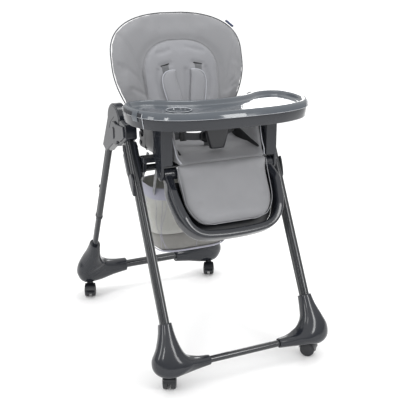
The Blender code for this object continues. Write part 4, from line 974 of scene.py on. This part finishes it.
def cushion_rings(stations, half_of, front, back, count=41, round_power=7.0, low=None, high=None):
    """Rings of a crowned pad on the back, between two depths behind its front plane."""
    rings = []
    middle, thick = (front + back) / 2, (back - front) / 2
    for s in stations:
        t = 2 * (s - low) / (high - low) - 1
        end = max(0.0, 1 - abs(t) ** 16) ** 0.5
        half = half_of(s)
        near, far = [], []
        for a in np.linspace(-math.pi / 2, math.pi / 2, count):
            k = math.sin(a)
            h = thick * max(0.10, end) * max(0.0, 1 - abs(k) ** round_power) ** 0.5
            near.append(back_point(half * k, s, middle - h))
            far.append(back_point(half * k, s, middle + h))
        rings.append(near + list(reversed(far[1:-1])))
    return rings


def outline_of(half_of, low, high, count=90, inset=0.0):
    """The (x, height) outline of a back pad, from its lower left corner over the top to the lower right."""
    right = []
    for t in np.linspace(0, 1, count):
        s = low + (high - low) * math.sin(t * math.pi / 2)
        right.append((half_of(s) - inset, s))
    left = [(-x, s) for x, s in right]
    return spline(left + list(reversed(right))[1:], 2 * count)


def edge_path(half_of, low, high, off, count=90, inset=0.0):
    return [back_point(x, s, off) for x, s in outline_of(half_of, low, high, count, inset)]


def make_back():
    rings = []
    for s in (0.020, 0.045, 0.090, 0.140, 0.190, 0.240, 0.280, 0.310, 0.335, 0.358, 0.377, 0.391, 0.400):
        half = back_half(s) - 0.012 if s > 0.34 else max(back_half(s) - 0.012, 0.1515)
        near = [back_point(half * k, s, 0.0300) for k in np.sin(np.linspace(-1.5708, 1.5708, 33))]
        far = [back_point(half * k, s, 0.0375 + 0.004 * (1 - k**2)) for k in np.sin(np.linspace(-1.5708, 1.5708, 33))]
        rings.append(near + list(reversed(far)))
    put(loft("back_panel", smooth_rings(rings, 3), DARK, sharp=50), "backrest", "back_shell")
    knuckle = arc(BACK_PIVOT.y, BACK_PIVOT.z, 0.0100, 120, 270, 20)
    knuckle += [(0.0650, 0.6500), (0.0790, 0.6720), (0.0790, 0.6860), (0.0720, 0.6820)]
    for name, side in SIDES:
        put(prism("recline_knuckle_" + name, knuckle, side * 0.1475, side * 0.1528, DARK, 0.0010, 2), "backrest")
    for i in (-1, 0, 1):
        rib = [back_point(0.075 * i, s, 0.0400) for s in np.linspace(0.06, 0.35, 20)]
        put(strap("back_rib_%d" % (i + 1), rib, X, 0.0045, 0.0030, DARK, across=BACK_OUT), "backrest")

    def wide(s):
        return back_half(s, 0.2360, 0.1400)

    stations = 0.012 + (0.4158 - 0.012) * np.sin(np.linspace(0.02, 1, 34) * math.pi / 2)
    cushion = loft("back_pad", cushion_rings(stations, wide, 0.0, 0.0290, 41, 6.0, 0.010, 0.4178), PALE, sharp=0)
    puffed(cushion, 0.010, -BACK_OUT, 4.0, 0.0065, lambda p: in_back(p, 0.020))
    rim = [(x, s) for x, s in outline_of(insert_half, 0.10, INSERT_TOP, 60, -0.006)]
    press(cushion, [rim], 0.0045, 0.013, 0.012)
    press(cushion, BACK_CREASES, 0.0040, 0.0060, 0.012)
    put(cushion, "backrest", "back_cushion")
    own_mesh(cushion)
    # a dark cord round the back pad: the shell's edge and painted shade under the pad's rim
    path = edge_path(wide, 0.020, 0.4153, 0.0215, 90, 0.0030)
    edge_shade = cord_mesh("back_edge_shade", path, 0.0019, EDGE, 12)
    put(edge_shade, "backrest")
    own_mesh(edge_shade)
    make_insert()
    along = (-X * 0.756 + BACK_UP * 0.655).normalized()
    across = (X * 0.655 + BACK_UP * 0.756).normalized()
    corner = back_point(0.1985, 0.3660, 0.0100)
    tag = block("blank_tag", corner, (0.0165, 0.0040, 0.0022), BLUE, (along, BACK_OUT, across), 0.0006, 2)
    put(tag, "backrest")


BACK_CREASES = (
    ((-0.205, 0.352), (-0.155, 0.262), (-0.119, 0.155)),
    ((-0.212, 0.250), (-0.160, 0.208), (-0.123, 0.150)),
    ((-0.178, 0.170), (-0.122, 0.142)),
    ((0.207, 0.322), (0.180, 0.235), (0.150, 0.148)),
    ((0.218, 0.208), (0.185, 0.178), (0.152, 0.146)),
    ((0.196, 0.165), (0.152, 0.142)),
)
INSERT_TOP = 0.3235
INSERT_CREASES = (
    ((-0.080, 0.277), (-0.058, 0.280), (-0.036, 0.287)),
    ((0.028, 0.293), (0.050, 0.287), (0.082, 0.279)),
    ((-0.072, 0.236), (-0.040, 0.243)),
    ((0.040, 0.243), (0.072, 0.236)),
    ((0.014, 0.218), (0.006, 0.120)),
    ((-0.084, 0.222), (-0.088, 0.190), (-0.078, 0.130)),
    ((0.084, 0.222), (0.090, 0.190), (0.082, 0.130)),
)


def press(pad, lines, depth, width, face):
    """Presses soft grooves into the front of a back pad, along lines of (x, height)."""
    line = np.vstack([spline(points, 60) for points in lines])
    mesh = pad.data
    co = np.empty(len(mesh.vertices) * 3)
    mesh.vertices.foreach_get("co", co)
    co = co.reshape(-1, 3)
    seen = co - np.array(BACK_FOOT)
    flat = np.stack([co[:, 0], seen @ np.array(BACK_UP)], axis=1)
    away = np.full(len(co), 9.0)
    for spot in line:
        away = np.minimum(away, np.linalg.norm(flat - spot, axis=1))
    front = np.clip((face - seen @ np.array(BACK_OUT)) / 0.008, 0.0, 1.0)
    push = depth * np.exp(-((away / width) ** 2)) * front
    mesh.vertices.foreach_set("co", (co + push[:, None] * np.array(BACK_OUT)).ravel())
    mesh.update()


def in_back(p, off):
    d = Vector(p) - BACK_FOOT
    return d.dot(BACK_OUT) > off


def insert_half(s):
    arch = 0.115
    straight = 0.1290 + 0.006 * min(1.0, max(0.0, s - 0.1) / 0.12)
    if s <= INSERT_TOP - arch:
        return straight
    return straight * max(0.0, 1 - ((s - INSERT_TOP + arch) / arch) ** 2.4) ** (1 / 2.4)


def make_insert():
    high = INSERT_TOP - 0.0003
    stations = 0.012 + (high - 0.012) * np.sin(np.linspace(0.02, 1, 30) * math.pi / 2)
    rings = cushion_rings(stations, insert_half, -0.0155, 0.0040, 35, 4.0, 0.008, INSERT_TOP + 0.0015)
    pad = loft("insert_pad", rings, PAD, sharp=0)
    puffed(pad, 0.006, -BACK_OUT, 5.0, 0.0050, lambda p: in_back(p, -0.001))
    press(pad, INSERT_CREASES, 0.0042, 0.0080, -0.004)
    put(pad, "backrest", "back_insert")
    # a thin dark cord round the insert: painted shade along its outline crease
    path = edge_path(insert_half, 0.016, high - 0.0004, -0.0060, 80, 0.0006)
    put(cord_mesh("insert_outline_shade", path, 0.0010, CREASE_SHADE, 10), "backrest")
    for name, side in SIDES:
        mid = back_point(side * 0.0590, 0.2385, -0.0178)
        along = (X * side * 0.975 - BACK_UP * 0.22).normalized()
        up = (BACK_UP * 0.975 + X * side * 0.22).normalized()
        # the slots are solid near-black blocks: painted shade in the strap openings
        slot = block("slot_" + name, mid, (0.0150, 0.0026, 0.0016), RECESS_SHADE, (along, BACK_OUT, up), 0.0009, 2)
        put(slot, "backrest")


def make_harness():
    for name, side in SIDES:
        line = [(0.0590, 0.2385, -0.0175), (0.0590, 0.232, -0.0200), (0.0585, 0.222, -0.0212), (0.0540, 0.190, -0.0222)]
        line += [(0.0480, 0.140, -0.0222), (0.0430, 0.080, -0.0215), (0.0420, 0.050, -0.0200)]
        path = [back_point(side * x, s, off) for x, s, off in spline(line, 40)]
        put(strap("harness_strap_" + name, path, X, 0.0120, 0.0010, WEBBING, across=BACK_OUT), "backrest", "shoulder_strap_" + name)
        rings = []
        spots = [
            (0.0300, 0.0380, 0.2195), (0.0270, 0.0520, 0.2180), (0.0262, 0.0640, 0.2135), (0.0258, 0.0720, 0.2055),
            (0.0248, 0.0765, 0.1950), (0.0228, 0.0780, 0.1800), (0.0190, 0.0760, 0.1600), (0.0140, 0.0700, 0.1300),
            (0.0120, 0.0660, 0.1050), (0.0125, 0.0650, 0.0980), (0.0150, 0.0620, 0.0960),
        ]
        for near, far, s in spots:
            half = (far - near) / 2
            thick = 0.0060 * min(1.0, half / 0.020) ** 0.5
            rings.append(ring(back_point(side * (near + far) / 2, s, -0.0262), X * half, BACK_OUT * thick, 36, 2.8))
        pad = loft("harness_pad_" + name, smooth_rings(rings, 4), PAD, sharp=0)
        puffed(pad, 0.004, -BACK_OUT, 4.0, 0.0035, lambda p: in_back(p, -0.022), 2)
        put(pad, "backrest", "shoulder_pad_" + name)
        loop = spline([(0.0275, 0.2188), (0.0400, 0.2195)] + [(far - 0.0006, s) for _, far, s in spots[1:-1]], 70)
        path = [back_point(side * x, s, -0.0275) for x, s in loop]
        put(cord_mesh("harness_pad_piping_" + name, path, 0.0017, PIPING, 8), "backrest")


def make_recline_handle():
    centre = back_point(0, 0.215, 0.0465)
    handle = block("recline_grip", centre, (0.0550, 0.0088, 0.0108), SLATE, (X, BACK_OUT, BACK_UP), 0.0055, 5)
    put(handle, "recline_handle", "recline_handle")
    grip = block("recline_grip_inset", centre + BACK_OUT * 0.0086, (0.0420, 0.0006, 0.0060), DARK, (X, BACK_OUT, BACK_UP), 0.0004, 2)
    put(grip, "recline_handle")


# ---------------------------------------------------------------- leg rest


def make_leg_rest():
    right = [(0.1715, 0.006), (0.1722, 0.032), (0.1755, 0.060), (0.1715, 0.100)]
    right += [(0.1620, 0.145), (0.1420, 0.182), (0.1080, 0.203), (0.0500, 0.210)]
    path = spline([(-x, s) for x, s in right] + [(0.0, 0.211)] + [(x, s) for x, s in reversed(right)], 110)
    rings = []
    for i, (x, s) in enumerate(path):
        dx, ds = path[min(i + 1, len(path) - 1)] - path[max(i - 1, 0)]
        length = math.hypot(dx, ds)
        side = X * (-ds / length) + REST_DOWN * (dx / length)
        reach = min(1.0, max(0.0, (s - 0.015) / 0.045))
        low = -0.0140 - 0.0110 * reach
        high = 0.0150 + 0.0180 * reach - 0.0120 * max(0.0, (s - 0.150) / 0.060)
        centre = rest_point(x, s, (low + high) / 2)
        rings.append(ring(centre, side * 0.0125, REST_OUT * ((high - low) / 2), 56, 4.2))
    put(loft("leg_rest_bow", rings, SLATE, sharp=50), "leg_rest", "leg_rest_frame")
    for name, side in SIDES:
        profile = [(-0.0225, 0.0168), (-0.0215, 0.0180), (0.0215, 0.0180), (0.0225, 0.0168)]
        boss = lathe("leg_rest_boss_" + name, (side * 0.1625, REST_Y, REST_Z), X, profile, SLATE, 56)
        put(boss, "leg_rest")
        profile = [(0.0, 0.0110), (0.0010, 0.0108), (0.0010, 0.0060), (-0.0008, 0.0055), (-0.0008, 0.0010)]
        put(lathe("leg_rest_cap_" + name, (side * 0.1400, REST_Y, REST_Z), -X * side, profile, DARK, 40), "leg_rest")
    inner = []
    for i, (x, s) in enumerate(path):
        dx, ds = path[min(i + 1, len(path) - 1)] - path[max(i - 1, 0)]
        length = math.hypot(dx, ds)
        if s > 0.024:
            inner.append((x + ds / length * 0.0122, s - dx / length * 0.0122))
    rings = [[rest_point(x, s, n) for x, s in inner] for n in (-0.0215, -0.0155)]
    put(rounded(loft("leg_rest_board", rings, DARK, sharp=0), 0.0015, 2), "leg_rest", "leg_rest_panel")
    make_calf_pad()


def calf_half(s):
    if s < 0.030:
        return 0.1490 + 0.006 * max(0.0, (0.030 - s) / 0.065)
    if s < 0.090:
        return 0.1490 - 0.0015 * (s - 0.030) / 0.060
    c = min(1.0, (s - 0.090) / 0.0905)
    return 0.1475 - 0.072 * (1 - math.sqrt(max(0.0, 1 - c * c)))


def make_calf_pad():
    """The pad hangs over the knee from the seat and lies down the leg rest."""
    points = [(-0.0150, 0.0420), (-0.0070, 0.0500), (0.0040, 0.0520), (0.0300, 0.0480), (0.0770, 0.0410)]
    front = spline(points + [(0.1070, 0.0370), (0.1450, 0.0350), (0.1790, 0.0320)], 44)
    rings = []
    count = 39
    for s, n in front:
        rear = -0.0130 if s > 0.022 else n - 0.020 - (s + 0.014) * 1.1
        fade = max(0.10, 1 - max(0.0, (s - 0.155) / 0.0242) ** 4)
        fade *= min(1.0, 0.35 + max(0.0, s + 0.014) / 0.012)
        middle, thick, half = (n + rear) / 2, (n - rear) / 2 * fade, calf_half(s)
        near, far = [], []
        for a in np.linspace(-math.pi / 2, math.pi / 2, count):
            k = math.sin(a)
            h = thick * max(0.0, 1 - abs(k) ** 6.0) ** 0.5
            near.append(rest_point(half * k, s, middle + h))
            far.append(rest_point(half * k, s, middle - h))
        rings.append(near + list(reversed(far[1:-1])))
    pad = loft("calf_cushion", rings, PALE, sharp=0)
    puffed(pad, 0.005, REST_OUT, 4.0, 0.0055, lambda p: (Vector(p) - Vector((0, REST_Y, REST_Z))).dot(REST_OUT) < 0.004)
    pad_body(pad, "calf_pad")
    loop = [(-calf_half(s) + 0.0004, s) for s in np.linspace(-0.004, 0.170, 60)]
    loop += [(x, 0.1795) for x in np.linspace(-0.074, 0.074, 9)]
    loop += [(-x, s) for x, s in reversed(loop[:60])]
    line = spline(loop, 160)
    path = [rest_point(x, s, float(np.interp(s, front[:, 0], front[:, 1])) - 0.0150) for x, s in line]
    pad_body(cord_mesh("calf_piping", path, 0.0012, PAD, 10), None)


def pad_body(obj, node):
    if node:
        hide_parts(node)
    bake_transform(obj)


# ---------------------------------------------------------------- tray


def tray_outline(inset, count=120):
    right = [(0.0, -0.362), (0.090, -0.358), (0.165, -0.345), (0.232, -0.313)]
    right += [(0.270, -0.266), (0.286, -0.212), (0.286, -0.152), (0.273, -0.108)]
    right += [(0.243, -0.085), (0.207, -0.080), (0.168, -0.092), (0.118, -0.126)]
    right += [(0.060, -0.148), (0.0, -0.154)]
    half = spline(right, count)
    around = np.concatenate([half, (half * [-1, 1])[-2:0:-1]])
    ahead = np.roll(around, -1, axis=0) - np.roll(around, 1, axis=0)
    inward = np.stack([-ahead[:, 1], ahead[:, 0]], axis=1)
    inward /= np.linalg.norm(inward, axis=1)[:, None]
    return around + inward * inset


def tray_shape(name, section, material):
    """Rings of (inset, height over the tray's lower edge) round the tray."""
    rings = [[Vector((x, y, TRAY_LOW + up)) for x, y in tray_outline(inset)] for inset, up in section]
    return loft(name, rings, material, sharp=42)


def end_band(name, side, section, low, high, material, bevel=0.0007):
    """A curved plate on a tray end, between two places along the chair."""
    plan = tray_outline(0.0)
    chosen = [i for i, (x, y) in enumerate(plan) if x * side > 0.20 and low <= y <= high]
    plans = [tray_outline(inset) for inset, _ in section]
    rings = []
    for i in chosen:
        rings.append([Vector((p[i][0], p[i][1], TRAY_LOW + up)) for p, (_, up) in zip(plans, section)])
    return rounded(loft(name, rings, material, sharp=0), bevel, 2, 40)


def highlight_line(name, side, section, place):
    """A painted highlight line from the bottom of a tray end to its rim."""
    plan = tray_outline(0.0)
    near = min((i for i, (x, y) in enumerate(plan) if x * side > 0.20), key=lambda i: abs(plan[i][1] - place))
    path = [Vector((*tray_outline(inset)[near], TRAY_LOW + up)) for inset, up in section]
    return cord_mesh(name, spline(path, 16), 0.0008, EDGE_HIGHLIGHT, 8)


def make_tray():
    base = [
        (0.0330, 0.0308), (0.0255, 0.0318), (0.0200, 0.0372), (0.0170, 0.0408), (0.0140, 0.0430), (0.0122, 0.0418), (0.0105, 0.0385),
        (0.0063, 0.0300), (0.0118, 0.0010), (0.0108, 0.0), (0.0087, 0.0), (0.0078, 0.0012), (0.0031, 0.0325), (0.0034, 0.0345),
        (0.0078, 0.0420), (0.0105, 0.0458), (0.0130, 0.0475), (0.0155, 0.0462), (0.0175, 0.0435), (0.0240, 0.0352), (0.0300, 0.0338),
    ]
    body = tray_shape("tray_body", base, SLATE)
    place = CUP_CENTRE + Z * TRAY_LOW
    cut(body, lathe("well_cutter", place, Z, [(0.0290, 0.0405), (0.0420, 0.0405)], SLATE, 96))
    put(body, "tray", "tray_base")
    well = [(0.0335, 0.0425), (0.0190, 0.0425), (0.0190, 0.0100), (0.0200, 0.0100), (0.0202, 0.0408), (0.0335, 0.0410)]
    put(lathe("cup_well", place, Z, well, SLATE, 72, caps=False), "tray")
    for name, side in SIDES:
        centre = (side * 0.1770, -0.2080, TRAY_LOW + 0.0160)
        put(block("tray_rail_" + name, centre, (0.0110, 0.1080, 0.0160), SLATE, bevel=0.0015), "tray")
    cover = [
        (0.0300, 0.0343), (0.0243, 0.0357), (0.0176, 0.0445), (0.0150, 0.0470), (0.0130, 0.0482), (0.0105, 0.0470), (0.0070, 0.0428),
        (0.0026, 0.0332), (0.0008, 0.0328), (0.0, 0.0336), (0.0014, 0.0390), (0.0040, 0.0458), (0.0075, 0.0502), (0.0120, 0.0520),
        (0.0165, 0.0513), (0.0200, 0.0490), (0.0232, 0.0440), (0.0262, 0.0398), (0.0300, 0.0380), (0.0345, 0.0375),
    ]
    lid = tray_shape("tray_lid", cover, COVER)
    cut(lid, lathe("cup_cutter", place, Z, [(0.0290, 0.0372), (0.0420, 0.0372)], COVER, 96))
    put(lid, "tray_cover", "tray_cover")
    dish = [
        (0.0352, 0.0373), (0.0378, 0.0376), (0.0388, 0.0392), (0.0392, 0.0384), (0.0388, 0.0374), (0.0372, 0.0364),
        (0.0345, 0.0358), (0.0310, 0.0350), (0.0292, 0.0335), (0.0287, 0.0300), (0.0286, 0.0180), (0.0286, 0.0010),
    ]
    put(lathe("cup_dish", place, Z, dish, COVER, 96, caps=False, sharp=60), "tray_cover")
    # a near-white ring on the cup's lip: painted highlight
    circle = [place + Vector((0.0374 * math.cos(t), 0.0374 * math.sin(t), 0.0388)) for t in np.linspace(0, 2 * math.pi, 72)[:-1]]
    put(cord_mesh("cup_rim_highlight", circle, 0.0009, EDGE_HIGHLIGHT, 8, closed=True), "tray_cover")
    # a near-white strip round the lid's rim: painted highlight
    lip = tray_shape("tray_lid_highlight", [(-0.0006, 0.0334), (0.0002, 0.0324), (0.0012, 0.0334), (0.0002, 0.0345)], EDGE_HIGHLIGHT)
    make_lip_ring(lip)
    low_wall = [(0.0070, 0.0010), (0.0014, 0.0316), (0.0044, 0.0316), (0.0102, 0.0010)]
    high_wall = [(-0.0012, 0.0340), (0.0004, 0.0400), (0.0026, 0.0452), (0.0050, 0.0446), (0.0024, 0.0390), (0.0010, 0.0340)]
    tab = [
        (0.0012, 0.0190), (-0.0022, 0.0335), (-0.0010, 0.0400), (0.0016, 0.0466), (0.0060, 0.0510),
        (0.0080, 0.0500), (0.0040, 0.0456), (0.0014, 0.0400), (0.0004, 0.0345), (0.0030, 0.0190),
    ]
    for name, side in SIDES:
        put(end_band("tray_end_" + name, side, low_wall, -0.262, -0.115, SLATE), "tray")
        put(end_band("lid_end_" + name, side, high_wall, -0.262, -0.115, SLATE), "tray_cover")
        put(end_band("tray_tab_" + name, side, tab, -0.246, -0.212, COVER), "tray_cover")
        # near-white lines at the front and rear of each tray end: painted highlights
        for tag, y in (("front", -0.262), ("rear", -0.115)):
            put(highlight_line("tray_end_highlight_%s_%s" % (tag, name), side, low_wall[:2], y), "tray")
            put(highlight_line("lid_end_highlight_%s_%s" % (tag, name), side, high_wall[:3], y), "tray_cover")
    rings = []
    for z, wide, deep in ((0.7970, 0.0430, 0.0165), (0.7600, 0.0412, 0.0158), (0.7300, 0.0390, 0.0150), (0.7000, 0.0315, 0.0130), (0.6760, 0.0245, 0.0110), (0.6720, 0.0225, 0.0095), (0.6710, 0.0200, 0.0075)):
        rings.append(ring(Vector((0, -0.1850, z)), X * wide, Y * deep, 64, 4.0))
    put(loft("crotch_guard", smooth_rings(rings, 3), DARK, sharp=50), "tray", "crotch_post")
    grip = block("tray_handle", (0, -0.2920, TRAY_LOW + 0.0245), (0.0420, 0.0100, 0.0055), SLATE, bevel=0.0025, segments=4)
    put(grip, "tray_release", "tray_release")


def make_lip_ring(obj):
    """A closed thin ring for the lid's painted highlight: its end caps are removed so that only the edge strip is left.
    """
    import bmesh

    bm = bmesh.new()
    bm.from_mesh(obj.data)
    bmesh.ops.delete(bm, geom=[f for f in bm.faces if len(f.verts) > 4], context="FACES")
    bm.to_mesh(obj.data)
    bm.free()
    put(obj, "tray_cover")


# ---------------------------------------------------------------- set


def make_set():
    scene = bpy.context.scene
    mesh = bpy.data.meshes.new("floor")
    size = 30.0
    mesh.from_pydata([(-size, -size, 0), (size, -size, 0), (size, size, 0), (-size, size, 0)], [], [(0, 1, 2, 3)])
    floor = bpy.data.objects.new("floor", mesh)
    scene.collection.objects.link(floor)
    ground = Shader("floor_paper", (0.97, 0.97, 0.97), 0.9)
    ground.set("Specular IOR Level", 0.1)
    mesh.materials.append(ground.material)
    world = bpy.data.worlds.new("studio")
    world.use_nodes = True
    tree = world.node_tree
    shade = tree.nodes.new("ShaderNodeMapRange")
    for key, number in (("From Min", 0.0), ("From Max", 0.65), ("To Min", 0.45), ("To Max", 1.25)):
        shade.inputs[key].default_value = number
    split = tree.nodes.new("ShaderNodeSeparateXYZ")
    place = tree.nodes.new("ShaderNodeTexCoord")
    tree.links.new(place.outputs["Generated"], split.inputs["Vector"])
    tree.links.new(split.outputs["Z"], shade.inputs["Value"])
    tree.links.new(shade.outputs["Result"], tree.nodes["Background"].inputs["Strength"])
    tree.nodes["Background"].inputs["Color"].default_value = (1, 1, 1, 1)
    scene.world = world
    for name, place, width, height, power in (
        ("key_strip", (1.03, -2.35, 1.60), 0.50, 1.00, 15.0),
        ("left_strip", (-1.75, -2.00, 1.54), 0.35, 0.80, 9.0),
        ("side_box", (-2.60, -0.40, 1.30), 0.60, 0.90, 9.0),
        ("back_box", (1.42, 1.85, 1.32), 0.80, 0.50, 6.5),
        ("top_box", (0.2, 0.3, 3.2), 1.00, 1.00, 14.0),
    ):
        data = bpy.data.lights.new(name, "AREA")
        data.shape = "RECTANGLE"
        data.size, data.size_y = width, height
        data.energy = power
        lamp = bpy.data.objects.new(name, data)
        scene.collection.objects.link(lamp)
        lamp.location = place
        aim = Vector((0, 0, 0.65)) - Vector(place)
        lamp.rotation_euler = aim.to_track_quat("-Z", "Y").to_euler()
    data = bpy.data.cameras.new("camera")
    data.lens, data.sensor_width = 70.0, 36.0
    camera = bpy.data.objects.new("camera", data)
    scene.collection.objects.link(camera)
    camera.location = (-1.043, -2.259, 1.233)
    a, e = math.radians(-25.43), math.radians(17.45)
    ahead = Vector((-math.sin(a) * math.cos(e), math.cos(a) * math.cos(e), -math.sin(e)))
    camera.rotation_euler = ahead.to_track_quat("-Z", "Y").to_euler()
    scene.camera = camera
    scene.view_settings.view_transform = "Standard"


make_legs()
make_feet()
make_bars()
make_hinges()
make_casters()
make_sliders()
make_seat()
make_posts()
make_bag()
make_belt()
make_back()
make_harness()
make_recline_handle()
make_leg_rest()
make_tray()
make_set()
